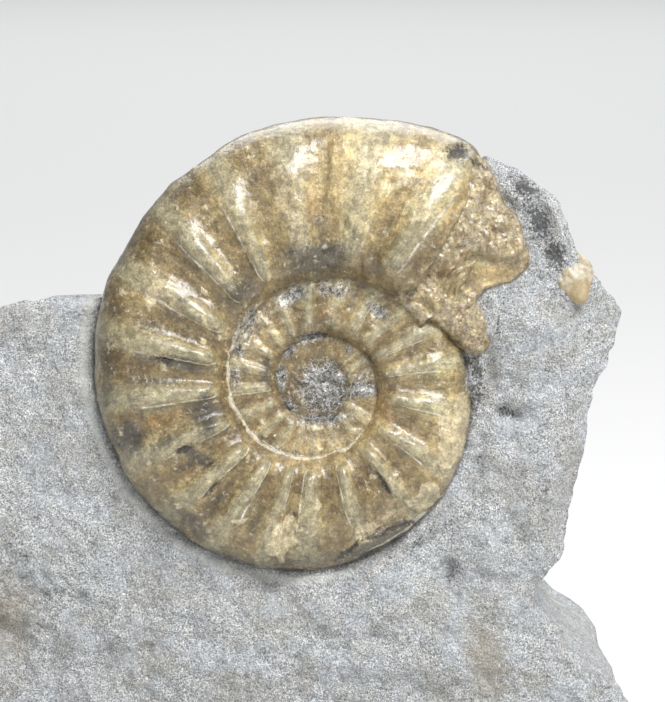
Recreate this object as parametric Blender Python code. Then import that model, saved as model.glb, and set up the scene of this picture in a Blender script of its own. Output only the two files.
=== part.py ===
"""An ammonite of honey-coloured calcite, standing proud of the grey limestone that it was found in.

The stone stands on a sawn base and its face leans back. The coil lies in a plane parallel to that face.
Face coordinates are millimetres from the middle of the coil: u to the right, v up the face, and w out of
the face towards the viewer. Angles round the coil are in degrees from u, clockwise as the viewer sees them,
which is the way the shell grew.
"""

import math

import bmesh
import bpy
from mathutils import Matrix, Vector, noise

MM = 0.001

# How the stone stands
LEAN_DEG = 12.0
COIL_ABOVE_BASE = 56.0
COIL_IN_FRONT_OF_ORIGIN = 11.5
STONE_BACK_Y = 21.0

# The coil: its outer edge is a logarithmic spiral
RADIUS_AT_ZERO = 24.3
GROWTH_PER_TURN = 2.12
TURNS_IN_SOLID = 3
SEAM_SHARE = 0.386
FLAT_SHARE = 0.60
HALF_THICKNESS = 0.21
CENTRE_HALF_THICKNESS = 1.2

# Ribs: their middles over one turn, repeated in every turn
RIB_ANGLES = (-25, -10, 10, 33, 53, 73, 92, 107, 122, 139, 157, 176, 194, 212, 229, 246, 264, 283, 302, 319)
RIB_CREST_HALF_DEG = 3.0
RIB_FOOT_HALF_DEG = 5.4
RIB_HEIGHT_SHARE = 0.030
RIB_MEAN = 0.4

# The broken mouth of the shell: the flank sinks, and the outer edge has gone in two steps (start, end, share)
BREAK_START, BREAK_END = 306.0, 330.0
BREAK_LOSS = 0.30
EDGE_LOSSES = ((303.0, 313.0, 0.10), (316.0, 330.0, 0.08))

# The gap between the shell and the stone round it
GAP_OUT, GAP_UP = 0.45, 0.65
GAP_DEG = 0.8
GAP_BREAK_DEG = 1.6
SOCKET_STEP_DEG = 6

# The stone's outline on its face, clockwise from the point where it leaves the shell's edge
STONE_OUTLINE = (
    (27.5, 37.0), (33.1, 33.8), (37.4, 30.8), (38.5, 28.2), (40.2, 24.6), (41.9, 20.1), (44.2, 17.8),
    (47.5, 14.2), (49.0, 11.6), (48.2, 8.7), (46.5, 2.8), (44.2, -0.8), (43.1, -7.6), (42.0, -13.5),
    (40.3, -21.7), (39.0, -28.3), (37.4, -29.8), (35.6, -31.9), (35.0, -34.9), (36.4, -36.7),
    (38.6, -38.8), (40.5, -41.6), (42.7, -44.2), (45.3, -45.7), (47.9, -47.6), (50.5, -51.5),
    (51.5, -57.0), (51.0, -64.0), (-59.0, -64.0), (-61.5, -57.0), (-63.0, -46.0), (-62.0, -33.0),
    (-63.5, -20.0), (-61.0, -6.0), (-57.0, 6.0), (-50.7, 12.4), (-46.7, 13.7), (-41.1, 13.9),
    (-34.7, 14.2), (-28.0, 17.5), (-18.0, 22.5), (-6.0, 26.5), (6.0, 29.5), (17.0, 33.0),
)
OUTLINE_STEP = 6.5
STONE_MIDDLE = (-6.0, -30.0)
FACE_RINGS = (0.985, 0.93, 0.84, 0.72, 0.58, 0.42, 0.24)
BACK_RINGS = (0.96, 0.85, 0.65, 0.38)
SIDE_RINGS = (0.25, 0.5, 0.75)
BACK_SHRINK = 0.96
BACK_TOP_DROP = 0.05
RIM_DROP = 1.8
# Height and pitch of the stone's unevenness
FACE_ROUGHNESS = (0.35, 9.0)
SIDE_ROUGHNESS = (1.6, 9.0)
BACK_ROUGHNESS = (2.4, 22.0)

# Swells and hollows of the stone's face: u, v, reach along u, reach along v, height
SWELLS = (
    (39.0, 25.0, 8.0, 9.0, 4.2),
    (33.0, 10.0, 9.0, 10.0, 3.4),
    (40.0, -9.0, 9.0, 13.0, 1.6),
    (27.0, -6.0, 4.0, 9.0, 1.0),
    (21.5, -31.0, 4.0, 7.0, -0.8),
    (0.0, -43.0, 22.0, 8.0, 1.2),
    (-46.0, -37.0, 9.0, 6.0, -2.0),
    (-46.0, -8.0, 11.0, 15.0, 0.9),
)
# Ledges: a point on the edge, the direction in degrees that falls away, the drop and the width of the slope
LEDGES = (
    (-40.0, -40.0, 232.0, 2.2, 4.0),
    (25.0, -45.0, 345.0, 1.1, 6.0),
)
FACE_LEVEL = 0.3
COLLAR_START, COLLAR_WIDTH = 1.0, 7.0

# The chip of paler calcite in the stone's right-hand edge
CHIP_AT = (41.0, 17.4, 3.4)
CHIP_HALF_SIZE = (2.5, 2.0, 4.3)
CHIP_TURN_DEG = 22.0
CHIP_ROUGHNESS = 0.28
CHIP_GAP = 0.4


def smooth_step(low, high, value):
    """0 below low, 1 above high, and an S-shaped rise between."""
    t = min(1.0, max(0.0, (value - low) / (high - low)))
    return t * t * (3.0 - 2.0 * t)


def face_matrix():
    """Carries points of the face (x = u, y = -w, z = v, in metres) to the object's own frame."""
    height = COIL_ABOVE_BASE * MM * math.cos(math.radians(LEAN_DEG))
    middle = Vector((0.0, -COIL_IN_FRONT_OF_ORIGIN * MM, height))
    return Matrix.Translation(middle) @ Matrix.Rotation(-math.radians(LEAN_DEG), 4, "X")


def face_point(u, v, w):
    """A point given in face coordinates, in the object's own frame."""
    return face_matrix() @ Vector((u * MM, -w * MM, v * MM))


def coil_radius(angle):
    """Radius of the whole shell's outer edge at an angle round the coil."""
    return RADIUS_AT_ZERO * GROWTH_PER_TURN ** (angle / 360.0)


def edge_left(angle, share):
    """What is left of the radius where the outer edge has broken off near the mouth."""
    lost = sum(loss * smooth_step(start, end, angle) for start, end, loss in EDGE_LOSSES)
    return 1.0 - lost * smooth_step(FLAT_SHARE, 1.0, share)


def outer_flank(share):
    """Half thickness over radius, outside the widest part of the whorl: a squarish arc down to the edge."""
    reach = max(0.0, (share - FLAT_SHARE) / (1.0 - FLAT_SHARE))
    return HALF_THICKNESS * math.sqrt(max(0.0, 1.0 - reach**3.2))


def flank(share):
    """Half thickness over radius at a share of the whorl's radius, from the inner seam to the outer edge."""
    if share >= FLAT_SHARE:
        return outer_flank(share)
    seam_height = outer_flank(SEAM_SHARE * GROWTH_PER_TURN) / GROWTH_PER_TURN
    depth = (FLAT_SHARE - share) / (FLAT_SHARE - SEAM_SHARE)
    return HALF_THICKNESS - (HALF_THICKNESS - seam_height) * depth**3.5


def rib_share(share):
    """How much of a rib's height is there at a share of the whorl's radius."""
    return smooth_step(0.42, 0.50, share) * (1.0 - smooth_step(0.84, 0.95, share))


def shell_point(angle, share, side, crest, gap=False):
    """A point of the shell: side is 1 on the face and -1 behind, and crest is 1 on a rib and 0 between two."""
    radius = coil_radius(angle)
    height = radius * (flank(share) + RIB_HEIGHT_SHARE * rib_share(share) * (crest - RIB_MEAN))
    if side > 0:
        height *= 1.0 - BREAK_LOSS * smooth_step(BREAK_START, BREAK_END, angle)
    if gap:
        out = radius * share * edge_left(angle - GAP_BREAK_DEG, share) + GAP_OUT * smooth_step(0.8, 1.0, share)
        height += GAP_UP
    else:
        out = radius * share * edge_left(angle, share)
    turn = math.radians(angle)
    return Vector((out * math.cos(turn), -side * height, -out * math.sin(turn))) * MM


def ribbed_stations():
    """(angle, crest) of the sections over one turn: foot, crest, crest and foot of each rib."""
    stations = []
    for middle in RIB_ANGLES:
        stations += [
            (middle - RIB_FOOT_HALF_DEG, 0.0),
            (middle - RIB_CREST_HALF_DEG, 1.0),
            (middle + RIB_CREST_HALF_DEG, 1.0),
            (middle + RIB_FOOT_HALF_DEG, 0.0),
        ]
    return stations


def over_all_turns(stations, turns):
    """The stations of one turn, repeated inwards for each earlier turn."""
    return [(angle - 360.0 * back, crest) for back in reversed(range(turns)) for angle, crest in stations]


def coil_mesh(name, stations, turns, shares, gap=False):
    """A coiled shell as one closed mesh.

    Every turn is a ribbon from its inner seam to the seam where the next turn covers it. Row 0 of a turn is
    the last covered row of the turn inside it, so the ribbons join into one skin. The last turn goes on over
    its outer edge to the back. The mouth is a flat face, and each middle is a fan.
    """
    per_turn = len(stations)
    sections = over_all_turns(stations, turns)
    sections.append((sections[-per_turn][0] + 360.0, sections[-per_turn][1]))
    last = len(sections) - 1
    last_turn = last - per_turn
    covered_row = min(range(len(shares)), key=lambda row: abs(shares[row] - SEAM_SHARE * GROWTH_PER_TURN))
    edge_row = len(shares) - 1
    mesh = bmesh.new()
    made = {}

    def corner(index, row, side):
        if row == 0 and index >= per_turn:
            return corner(index - per_turn, covered_row, side)
        on_edge = row == edge_row and not gap
        key = (index, row, 1 if on_edge else side)
        if key not in made:
            angle, crest = sections[index]
            made[key] = mesh.verts.new(shell_point(angle, shares[row], key[2], crest, gap))
        return made[key]

    for side in (1, -1):
        for index in range(last):
            rows = edge_row if index >= last_turn else covered_row
            for row in range(rows):
                square = [
                    corner(index, row, side),
                    corner(index, row + 1, side),
                    corner(index + 1, row + 1, side),
                    corner(index + 1, row, side),
                ]
                mesh.faces.new(square)
        rim = [corner(index, 0, side) for index in range(per_turn + 1)]
        rim += [corner(0, row, side) for row in range(covered_row - 1, 0, -1)]
        half = CENTRE_HALF_THICKNESS + (GAP_UP if gap else 0.0)
        middle = mesh.verts.new((0.0, -side * half * MM, 0.0))
        for here, after in zip(rim, rim[1:] + rim[:1]):
            mesh.faces.new((middle, here, after))
    if gap:
        for index in range(last_turn, last):
            band = [corner(i, edge_row, s) for i, s in ((index, 1), (index, -1), (index + 1, -1), (index + 1, 1))]
            mesh.faces.new(band)
    mouth = [corner(last, row, 1) for row in range(edge_row + 1)]
    mouth += [corner(last, row, -1) for row in range(edge_row if gap else edge_row - 1, -1, -1)]
    mouth += [corner(last_turn, row, -1) for row in range(covered_row + 1, edge_row + 1)]
    mouth += [corner(last_turn, row, 1) for row in range(edge_row if gap else edge_row - 1, covered_row, -1)]
    mesh.faces.new(mouth)
    bmesh.ops.triangulate(mesh, faces=mesh.faces)
    bmesh.ops.recalc_face_normals(mesh, faces=mesh.faces)
    data = bpy.data.meshes.new(name)
    mesh.to_mesh(data)
    mesh.free()
    return data


def in_scene(name, data):
    """An object that holds this mesh, linked to the scene."""
    made = bpy.data.objects.new(name, data)
    bpy.context.scene.collection.objects.link(made)
    return made


def helper(made):
    """Marks an object as a cutter, which isn't part of the fossil."""
    made.hide_render = True
    made.display_type = "WIRE"
    return made


def finish_of(name, colour, roughness, coat=0.0):
    """A plain non-metallic material."""
    finish = bpy.data.materials.new(name)
    finish.use_nodes = True
    shader = finish.node_tree.nodes["Principled BSDF"]
    shader.inputs["Base Color"].default_value = (*colour, 1.0)
    shader.inputs["Roughness"].default_value = roughness
    shader.inputs["Metallic"].default_value = 0.0
    shader.inputs["Coat Weight"].default_value = coat
    return finish


def shell():
    """The ammonite: three turns of ribbed whorl, both flanks, and the broken mouth."""
    shares = (SEAM_SHARE, 0.42, 0.48, 0.60, 0.72, SEAM_SHARE * GROWTH_PER_TURN, 0.90, 0.96, 1.0)
    made = in_scene("ammonite", coil_mesh("ammonite", ribbed_stations(), TURNS_IN_SOLID, shares))
    made.matrix_world = face_matrix()
    made.data.materials.append(finish_of("calcite", (0.42, 0.31, 0.14), 0.25, 0.4))
    return made


def shell_socket():
    """The room that the shell takes up in the stone: its smooth form at rib height, a little larger."""
    start = ribbed_stations()[0][0]
    stations = [(start + step, 1.0) for step in range(0, 360, SOCKET_STEP_DEG)]
    stations[0] = (start + GAP_DEG, 1.0)
    shares = (SEAM_SHARE, 0.42, 0.48, 0.60, SEAM_SHARE * GROWTH_PER_TURN, 0.90, 0.96, 1.0)
    made = in_scene("socket_cutter", coil_mesh("socket_cutter", stations, 2, shares, gap=True))
    made.matrix_world = face_matrix()
    return helper(made)


def stone_level(u, v):
    """How far the stone's face stands out of the coil's middle plane. Under the shell it is that plane."""
    level = FACE_LEVEL
    for mid_u, mid_v, reach_u, reach_v, height in SWELLS:
        level += height * math.exp(-(((u - mid_u) / reach_u) ** 2) - ((v - mid_v) / reach_v) ** 2)
    for edge_u, edge_v, falls_deg, drop, width in LEDGES:
        falls = math.radians(falls_deg)
        beyond = (u - edge_u) * math.cos(falls) + (v - edge_v) * math.sin(falls)
        level -= drop * smooth_step(0.0, width, beyond)
    angle = math.degrees(math.atan2(-v, u)) % 360.0
    if angle > ribbed_stations()[0][0] + 360.0:
        angle -= 360.0
    inside = coil_radius(angle) * edge_left(angle, 1.0) - COLLAR_START - math.hypot(u, v)
    return level * (1.0 - smooth_step(0.0, COLLAR_WIDTH, inside))


def rough(u, v, height_and_pitch, seed):
    """Smooth noise of a height, with its bumps about one pitch apart."""
    height, pitch = height_and_pitch
    return height * noise.noise(Vector((u / pitch, v / pitch, seed)))


def stepped_outline():
    """The stone's outline with its long sides divided."""
    points = []
    for (u0, v0), (u1, v1) in zip(STONE_OUTLINE, STONE_OUTLINE[1:] + STONE_OUTLINE[:1]):
        parts = max(1, math.ceil(math.hypot(u1 - u0, v1 - v0) / OUTLINE_STEP))
        points += [(u0 + (u1 - u0) * k / parts, v0 + (v1 - v0) * k / parts) for k in range(parts)]
    return points


def face_ring(share):
    """A ring of the stone's face, at a share of the way from its middle to its outline."""
    mid_u, mid_v = STONE_MIDDLE
    ring = []
    for rim_u, rim_v in stepped_outline():
        u = mid_u + (rim_u - mid_u) * share
        v = mid_v + (rim_v - mid_v) * share
        broken_back = RIM_DROP * smooth_step(0.9, 1.0, share)
        ring.append(face_point(u, v, stone_level(u, v) + rough(u, v, FACE_ROUGHNESS, 1.0) - broken_back))
    return ring


def back_ring(share):
    """A ring of the stone's back, which is upright and rough."""
    mid_u, mid_v = STONE_MIDDLE
    ring = []
    for rim_u, rim_v in stepped_outline():
        u = (mid_u + (rim_u - mid_u) * share) * BACK_SHRINK
        v = mid_v + (rim_v - mid_v) * share
        height = (v + COIL_ABOVE_BASE) * (1.0 - BACK_TOP_DROP) * math.cos(math.radians(LEAN_DEG))
        y = STONE_BACK_Y + rough(u, v, BACK_ROUGHNESS, 5.0) - RIM_DROP * smooth_step(0.85, 1.0, share)
        ring.append(Vector((u, y, height)) * MM)
    return ring


def side_ring(front, back, share, seed):
    """A ring of the stone's broken side, at a share of the way from the face to the back."""
    middle = face_point(*STONE_MIDDLE, 0.0)
    ring = []
    for at_front, at_back in zip(front, back):
        point = at_front.lerp(at_back, share)
        out = Vector((point.x - middle.x, 0.0, point.z - middle.z)).normalized()
        ring.append(point + out * rough(point.x / MM, point.z / MM, SIDE_ROUGHNESS, seed) * MM)
    return ring


def stone():
    """The block of limestone: a rough face, broken sides, an upright back and a sawn base."""
    rim_front, rim_back = face_ring(1.0), back_ring(1.0)
    rings = [face_ring(share) for share in reversed(FACE_RINGS)]
    rings.append(rim_front)
    rings += [side_ring(rim_front, rim_back, share, 9.0 + share) for share in SIDE_RINGS]
    rings.append(rim_back)
    rings += [back_ring(share) for share in BACK_RINGS]
    mesh = bmesh.new()
    loops = [[mesh.verts.new(point) for point in ring] for ring in rings]
    for inner, outer in zip(loops, loops[1:]):
        for k in range(len(inner)):
            after = (k + 1) % len(inner)
            mesh.faces.new((inner[k], inner[after], outer[after], outer[k]))
    middles = (face_point(*STONE_MIDDLE, stone_level(*STONE_MIDDLE)), back_ring(0.0)[0])
    for point, loop in zip(middles, (loops[0], loops[-1])):
        middle = mesh.verts.new(point)
        for k in range(len(loop)):
            mesh.faces.new((middle, loop[k], loop[(k + 1) % len(loop)]))
    bmesh.ops.recalc_face_normals(mesh, faces=mesh.faces)
    everything = mesh.verts[:] + mesh.edges[:] + mesh.faces[:]
    sawn = bmesh.ops.bisect_plane(
        mesh, geom=everything, plane_co=(0.0, 0.0, 0.0), plane_no=(0.0, 0.0, -1.0), clear_outer=True
    )
    cut_edges = [item for item in sawn["geom_cut"] if isinstance(item, bmesh.types.BMEdge)]
    bmesh.ops.contextual_create(mesh, geom=cut_edges)
    bmesh.ops.triangulate(mesh, faces=mesh.faces)
    bmesh.ops.recalc_face_normals(mesh, faces=mesh.faces)
    data = bpy.data.meshes.new("matrix")
    mesh.to_mesh(data)
    mesh.free()
    made = in_scene("matrix", data)
    made.data.materials.append(finish_of("limestone", (0.42, 0.44, 0.46), 0.9))
    return made


def chip(name, grown):
    """The chip of pale calcite: a small faceted lump, larger by grown on every side where it is a cutter."""
    mesh = bmesh.new()
    bmesh.ops.create_icosphere(mesh, subdivisions=2, radius=1.0)
    half = Vector([size + grown for size in CHIP_HALF_SIZE])
    for vertex in mesh.verts:
        uneven = 1.0 + CHIP_ROUGHNESS * noise.noise(vertex.co * 1.7 + Vector((3.0, 1.0, 2.0)))
        vertex.co = Vector([a * b for a, b in zip(vertex.co * uneven, half)]) * MM
    data = bpy.data.meshes.new(name)
    mesh.to_mesh(data)
    mesh.free()
    made = in_scene(name, data)
    u, v, w = CHIP_AT
    turn = Matrix.Rotation(math.radians(CHIP_TURN_DEG), 4, "Y")
    made.matrix_world = face_matrix() @ Matrix.Translation(Vector((u, -w, v)) * MM) @ turn
    return made


def cut(solid, cutter):
    """Takes the cutter's form out of the solid. The socket's mouth touches its own first turn, hence use_self."""
    modifier = solid.modifiers.new(cutter.name, "BOOLEAN")
    modifier.operation = "DIFFERENCE"
    modifier.solver = "EXACT"
    modifier.use_self = True
    modifier.object = cutter


def main():
    for old in list(bpy.data.objects):
        bpy.data.objects.remove(old)
    shell()
    block = stone()
    pale = chip("calcite_chip", 0.0)
    pale.data.materials.append(finish_of("pale_calcite", (0.66, 0.58, 0.40), 0.45))
    cut(block, shell_socket())
    cut(block, helper(chip("chip_cutter", CHIP_GAP)))


main()
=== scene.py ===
# %% [markdown]
# # A calcite ammonite standing proud of its limestone
#
# A coiled shell lay in lime mud, and its chambers filled with calcite. Long after, the mud was limestone,
# and somebody cut the rock away from one side. What is left is glossy and honey-coloured in front, and grey
# rock behind. This lesson makes four pieces: the shell, the rough floor of its broken mouth, the stone, and
# a chip of pale calcite in the stone's edge.
#
# Each piece is a surface worked out with numpy. Its colours come from noise, steered by a few numbers that
# the mesh carries on its vertices.

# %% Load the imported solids
import itertools
import math

import bpy
import numpy as np
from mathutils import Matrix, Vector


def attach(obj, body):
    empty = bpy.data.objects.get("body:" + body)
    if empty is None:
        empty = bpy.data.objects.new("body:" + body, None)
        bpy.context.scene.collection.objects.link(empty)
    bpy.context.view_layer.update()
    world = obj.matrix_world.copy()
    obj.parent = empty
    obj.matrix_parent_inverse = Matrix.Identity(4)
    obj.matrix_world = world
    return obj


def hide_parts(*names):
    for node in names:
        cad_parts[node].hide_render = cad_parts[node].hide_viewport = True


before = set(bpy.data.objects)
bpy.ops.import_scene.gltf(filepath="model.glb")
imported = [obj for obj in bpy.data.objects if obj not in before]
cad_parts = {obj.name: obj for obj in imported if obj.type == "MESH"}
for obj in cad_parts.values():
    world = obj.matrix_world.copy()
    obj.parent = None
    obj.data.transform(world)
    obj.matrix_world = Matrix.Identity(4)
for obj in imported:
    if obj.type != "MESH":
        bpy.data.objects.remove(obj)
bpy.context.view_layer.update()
print("solids:", sorted(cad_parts))

# %% [markdown]
# ## The face's own axes
#
# The stone leans back on its base, and the coil lies in the leaning face. Shapes are easier to think of in
# that face: u runs across, v runs up it and w comes out of it, all in millimetres from the middle of the
# coil.

# %% Face coordinates
MM = 0.001
LEAN = math.radians(12.0)
MIDDLE_ABOVE_BASE = 56.0
COIL_MIDDLE = np.array((0.0, -11.5, MIDDLE_ABOVE_BASE * math.cos(LEAN)))
ACROSS = np.array((1.0, 0.0, 0.0))
UP_FACE = np.array((0.0, math.sin(LEAN), math.cos(LEAN)))
OUT_OF_FACE = np.array((0.0, -math.cos(LEAN), math.sin(LEAN)))


def from_face(u, v, w):
    """Millimetres in the object's frame: the coil's middle, plus u across, v up the face and w out of it."""
    u, v, w = np.broadcast_arrays(u, v, w)
    return COIL_MIDDLE + u[..., None] * ACROSS + v[..., None] * UP_FACE + w[..., None] * OUT_OF_FACE


# %% [markdown]
# ## Smooth noise
#
# Rock is uneven at every size. A simple noise puts a fixed random number on each corner of a lattice and
# eases between them. Adding finer and weaker copies gives the broken look of stone.


# %% Noise
CELL_FACTORS = (73856093, 19349663, 83492791)
SEED_FACTOR = 40503
MIXING = ((13, 1274126177), (15, 668265263))
LOW_31_BITS, LOW_16_BITS = 0x7FFFFFFF, 0xFFFF
OCTAVE_SEED, JITTER_SEED = 17, 100
JITTER = 0.45


def step(low, high, value):
    """0 below low, 1 above high, and 3t^2 - 2t^3 between."""
    t = np.clip((value - low) / (high - low), 0.0, 1.0)
    return t * t * (3.0 - 2.0 * t)


def band(rise, fall, value):
    """1 between two places: a step up over the first pair, and a step down over the second."""
    return step(*rise, value) * (1.0 - step(*fall, value))


def between(low, high, value):
    """Whether the value is between two limits."""
    return (value > low) & (value < high)


def hump(distance, width):
    """A smooth hump: e to the minus (distance over width) squared."""
    return np.exp(-((distance / width) ** 2))


def lattice(cells, seed):
    """A fixed random number from -1 to 1 for each whole-number cell, from mixing the bits of its indices."""
    i, j, k = np.moveaxis(cells.astype(np.int64) * CELL_FACTORS, -1, 0)
    mixed = i ^ j ^ k ^ (seed * SEED_FACTOR)
    for shift, factor in MIXING:
        mixed = ((mixed ^ (mixed >> shift)) * factor) & LOW_31_BITS
    return (mixed >> 8 & LOW_16_BITS) / (LOW_16_BITS / 2) - 1.0


def noise(points, size, seed=0):
    """Random numbers on a lattice with cells of this size, with an eased blend of the eight corners."""
    scaled = points / size
    cells = np.floor(scaled)
    t = scaled - cells
    t = t * t * (3.0 - 2.0 * t)
    total = np.zeros(points.shape[:-1])
    for corner in itertools.product((0, 1), repeat=3):
        weight = np.prod(np.where(corner, t, 1.0 - t), axis=-1)
        total += weight * lattice(cells + corner, seed)
    return total


def fractal(points, size, octaves, seed=0):
    """Noise plus copies of half the size and half the height."""
    return sum(noise(points, size / 2**k, seed + OCTAVE_SEED * k) / 2**k for k in range(octaves))


def crystals(points, size, seed=0):
    """Distance to the nearest of the random points, one in each cell of the lattice, in cells."""
    scaled = points / size
    cells = np.floor(scaled)
    nearest = np.full(points.shape[:-1], math.inf)
    for corner in itertools.product((-1, 0, 1), repeat=3):
        there = cells + corner
        jitter = [0.5 + JITTER * lattice(there, seed + JITTER_SEED + axis) for axis in range(3)]
        distance = np.linalg.norm(there + np.stack(jitter, axis=-1) - scaled, axis=-1)
        nearest = np.minimum(nearest, distance)
    return nearest


# %% [markdown]
# ## From arrays to meshes
#
# Every surface here ends as a list of points, some squares and some triangles. Two rows of points that
# don't have the same count are joined by a zip: walk along both, and always close the triangle that comes
# next.


# %% Mesh tools
def grid_squares(ids):
    """Squares between neighbours in a grid of point numbers."""
    corners = (ids[:-1, :-1], ids[1:, :-1], ids[1:, 1:], ids[:-1, 1:])
    return np.stack([c.ravel() for c in corners], axis=1)


def zip_rows(first, second):
    """Triangles that join two rows of point numbers, in the order in which their edges' middles come."""
    mid_first = (np.arange(len(first) - 1) + 0.5) / (len(first) - 1)
    mid_second = (np.arange(len(second) - 1) + 0.5) / (len(second) - 1)
    apex_second = np.searchsorted(mid_second, mid_first, side="left")
    apex_first = np.searchsorted(mid_first, mid_second, side="right")
    along_first = np.stack([first[:-1], second[apex_second], first[1:]], axis=1)
    along_second = np.stack([second[:-1], second[1:], first[apex_first]], axis=1)
    return np.concatenate([along_first, along_second])


def make_piece(name, points, faces):
    """A smooth-shaded mesh object at the origin, from points in millimetres and groups of faces by size."""
    data = bpy.data.meshes.new(name)
    everything = [face for group in faces for face in group.tolist()]
    data.from_pydata((points * MM).tolist(), [], everything)
    data.shade_smooth()
    made = bpy.data.objects.new(name, data)
    bpy.context.scene.collection.objects.link(made)
    return made


def normals_of(made):
    """Every vertex's normal, as an array."""
    found = np.empty(len(made.data.vertices) * 3, dtype=np.float32)
    made.data.vertex_normals.foreach_get("vector", found)
    return found.reshape(-1, 3).astype(float)


def place(made, points):
    """Puts every point where the array says, in millimetres."""
    made.data.vertices.foreach_set("co", (points * MM).astype(np.float32).ravel())
    made.data.update()


def push_out(made, points, amount):
    """Moves every point along its normal by its own amount in millimetres."""
    moved = points + normals_of(made) * amount[:, None]
    place(made, moved)
    return moved


def carry(made, **numbers):
    """Stores named numbers on the vertices, for the material to read."""
    for name, values in numbers.items():
        layer = made.data.attributes.new(name, "FLOAT", "POINT")
        layer.data.foreach_set("value", np.broadcast_to(values, len(made.data.vertices)).astype(np.float32))


# %% [markdown]
# A rough face that isn't round is one sheet, stretched between four chains of points so that its own points
# are evenly spread.


# %% Sheets
def along_curve(points, shares):
    """Points at shares of the length of a chain of straight pieces."""
    points = np.array(points)
    walked = np.concatenate([[0.0], np.cumsum(np.linalg.norm(np.diff(points, axis=0), axis=1))])
    return np.stack([np.interp(shares * walked[-1], walked, points[:, axis]) for axis in (0, 1)], axis=-1)


def sheet(cells, bottom, top, left, right):
    """A Coons patch: the two blends between opposite sides, minus the blend between the four corners."""
    s = np.linspace(0.0, 1.0, cells[0] + 1)
    t = np.linspace(0.0, 1.0, cells[1] + 1)
    bottom, top = along_curve(bottom, s)[:, None], along_curve(top, s)[:, None]
    left, right = along_curve(left, t)[None], along_curve(right, t)[None]
    s, t = s[:, None, None], t[None, :, None]
    corners = (1 - s) * ((1 - t) * bottom[:1] + t * top[:1]) + s * ((1 - t) * bottom[-1:] + t * top[-1:])
    return (1 - t) * bottom + t * top + (1 - s) * left + s * right - corners


def rim_of(grid):
    """The border of a grid, once round: bottom, right side up, top backwards and left side down."""
    return np.concatenate([grid[:-1, 0], grid[-1, :-1], grid[:0:-1, -1], grid[0, :0:-1]])


# %% [markdown]
# ## The coil
#
# A shell that keeps its shape as it grows is a logarithmic spiral: each turn is the turn inside it, 2.12
# times as large. So one cross-section serves for the whole shell. It is given as half the thickness over
# the radius, from the seam, where a turn sits on the one inside it, out to the edge.

# %% The cross-section
EDGE_AT_ZERO = 24.3
GROWTH = 2.12
SEAM, WIDEST = 0.386, 0.60
COVERED = SEAM * GROWTH
HALF_THICKNESS = 0.21
EDGE_POWER, WALL_POWER = 3.2, 3.5
FINE_STEPS = 4001
TURNS = 3
MOUTH_ANGLE = 329.6
START_ANGLE = MOUTH_ANGLE - 360.0 * TURNS
EDGE_LOSSES = ((303.0, 313.0, 0.10), (316.0, 330.0, 0.08))


def edge_radius(angle):
    """Radius of the whole shell's edge: it grows 2.12 times in each 360 degrees."""
    return EDGE_AT_ZERO * GROWTH ** (angle / 360.0)


def edge_left(angle, share):
    """What is left of the radius where the edge has broken away in two steps by the mouth."""
    lost = sum(loss * step(start, end, angle) for start, end, loss in EDGE_LOSSES)
    return 1.0 - lost * step(WIDEST, 1.0, share)


def outer_flank(share):
    """Half thickness beyond the widest part: (1 - t^3.2) to the power of a half, a squarish arc."""
    reach = np.clip((share - WIDEST) / (1.0 - WIDEST), 0.0, 1.0)
    return HALF_THICKNESS * np.sqrt(1.0 - reach**EDGE_POWER)


def flank(share):
    """Half thickness over the radius, with the wall that drops to the seam as a power of the depth."""
    at_seam = outer_flank(COVERED) / GROWTH
    depth = np.clip((WIDEST - share) / (WIDEST - SEAM), 0.0, 1.0)
    wall = HALF_THICKNESS - (HALF_THICKNESS - at_seam) * depth**WALL_POWER
    return np.where(share >= WIDEST, outer_flank(share), wall)


def even_shares(low, high, count):
    """Shares whose points are evenly spaced along the section between two shares."""
    fine = np.linspace(low, high, FINE_STEPS)
    height = flank(fine)
    walked = np.concatenate([[0.0], np.cumsum(np.hypot(np.diff(fine), np.diff(height)))])
    return np.interp(np.linspace(0.0, walked[-1], count), walked, fine)


# %% [markdown]
# ## The ribs
#
# The ribs are straight fingers across the flank. Each has a round inner end, steep sides, a rather flat
# top, and fades out before the edge. A finger is everything near a line, so the distance to a rib's middle
# line, over the rib's half width, says where a point is: below 1 it is on the rib.

# %% Rib positions: middle and half width in degrees, height, and how strong the painted highlight along its crest is, for one turn
RIBS = (
    (-26, 3.6, 0.8, 0.6), (-9.9, 3.9, 0.9, 0.9), (10.2, 4.2, 1, 0.9), (33.7, 3.9, 1, 1), (52.8, 3.4, 1, 1),
    (73.8, 3.8, 1, 0.8), (93.5, 4.8, 1, 0.7), (107.5, 3, 0.7, 0.6), (122.8, 3.5, 1, 1), (139, 3.4, 1, 1),
    (157.5, 3.8, 1.1, 1.1), (176.2, 3.9, 1, 1), (193.8, 3.7, 1.1, 1.1), (211.2, 4, 1.1, 1),
    (228.8, 3.5, 1, 0.8), (245.2, 3.6, 1, 0.7), (263, 4.6, 0.7, 0), (283, 5.4, 0.9, 0.4),
    (302, 4.4, 1.1, 1.1), (319, 3.6, 0.5, 0),
)
RIB_HEIGHT = 0.039
ROUND_END_AT, ROUND_END = 0.49, 0.045
RIB_STARTS, RIB_FADES = (0.42, 0.50), (0.72, 0.93)
FINGER_WIDTH, FINGER_POWER, FINGER_MEAN = 1.12, 2.6, 0.35
MIDDLE_TURN_FROM, LAST_TURN_FROM, MIDDLE_TURN_RIBS = (-400.0, -340.0), (-60.0, 0.0), 0.7
WORN, WORN_FROM, WORN_TO = 0.6, (-345.0, -320.0), (-235.0, -205.0)


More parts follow.
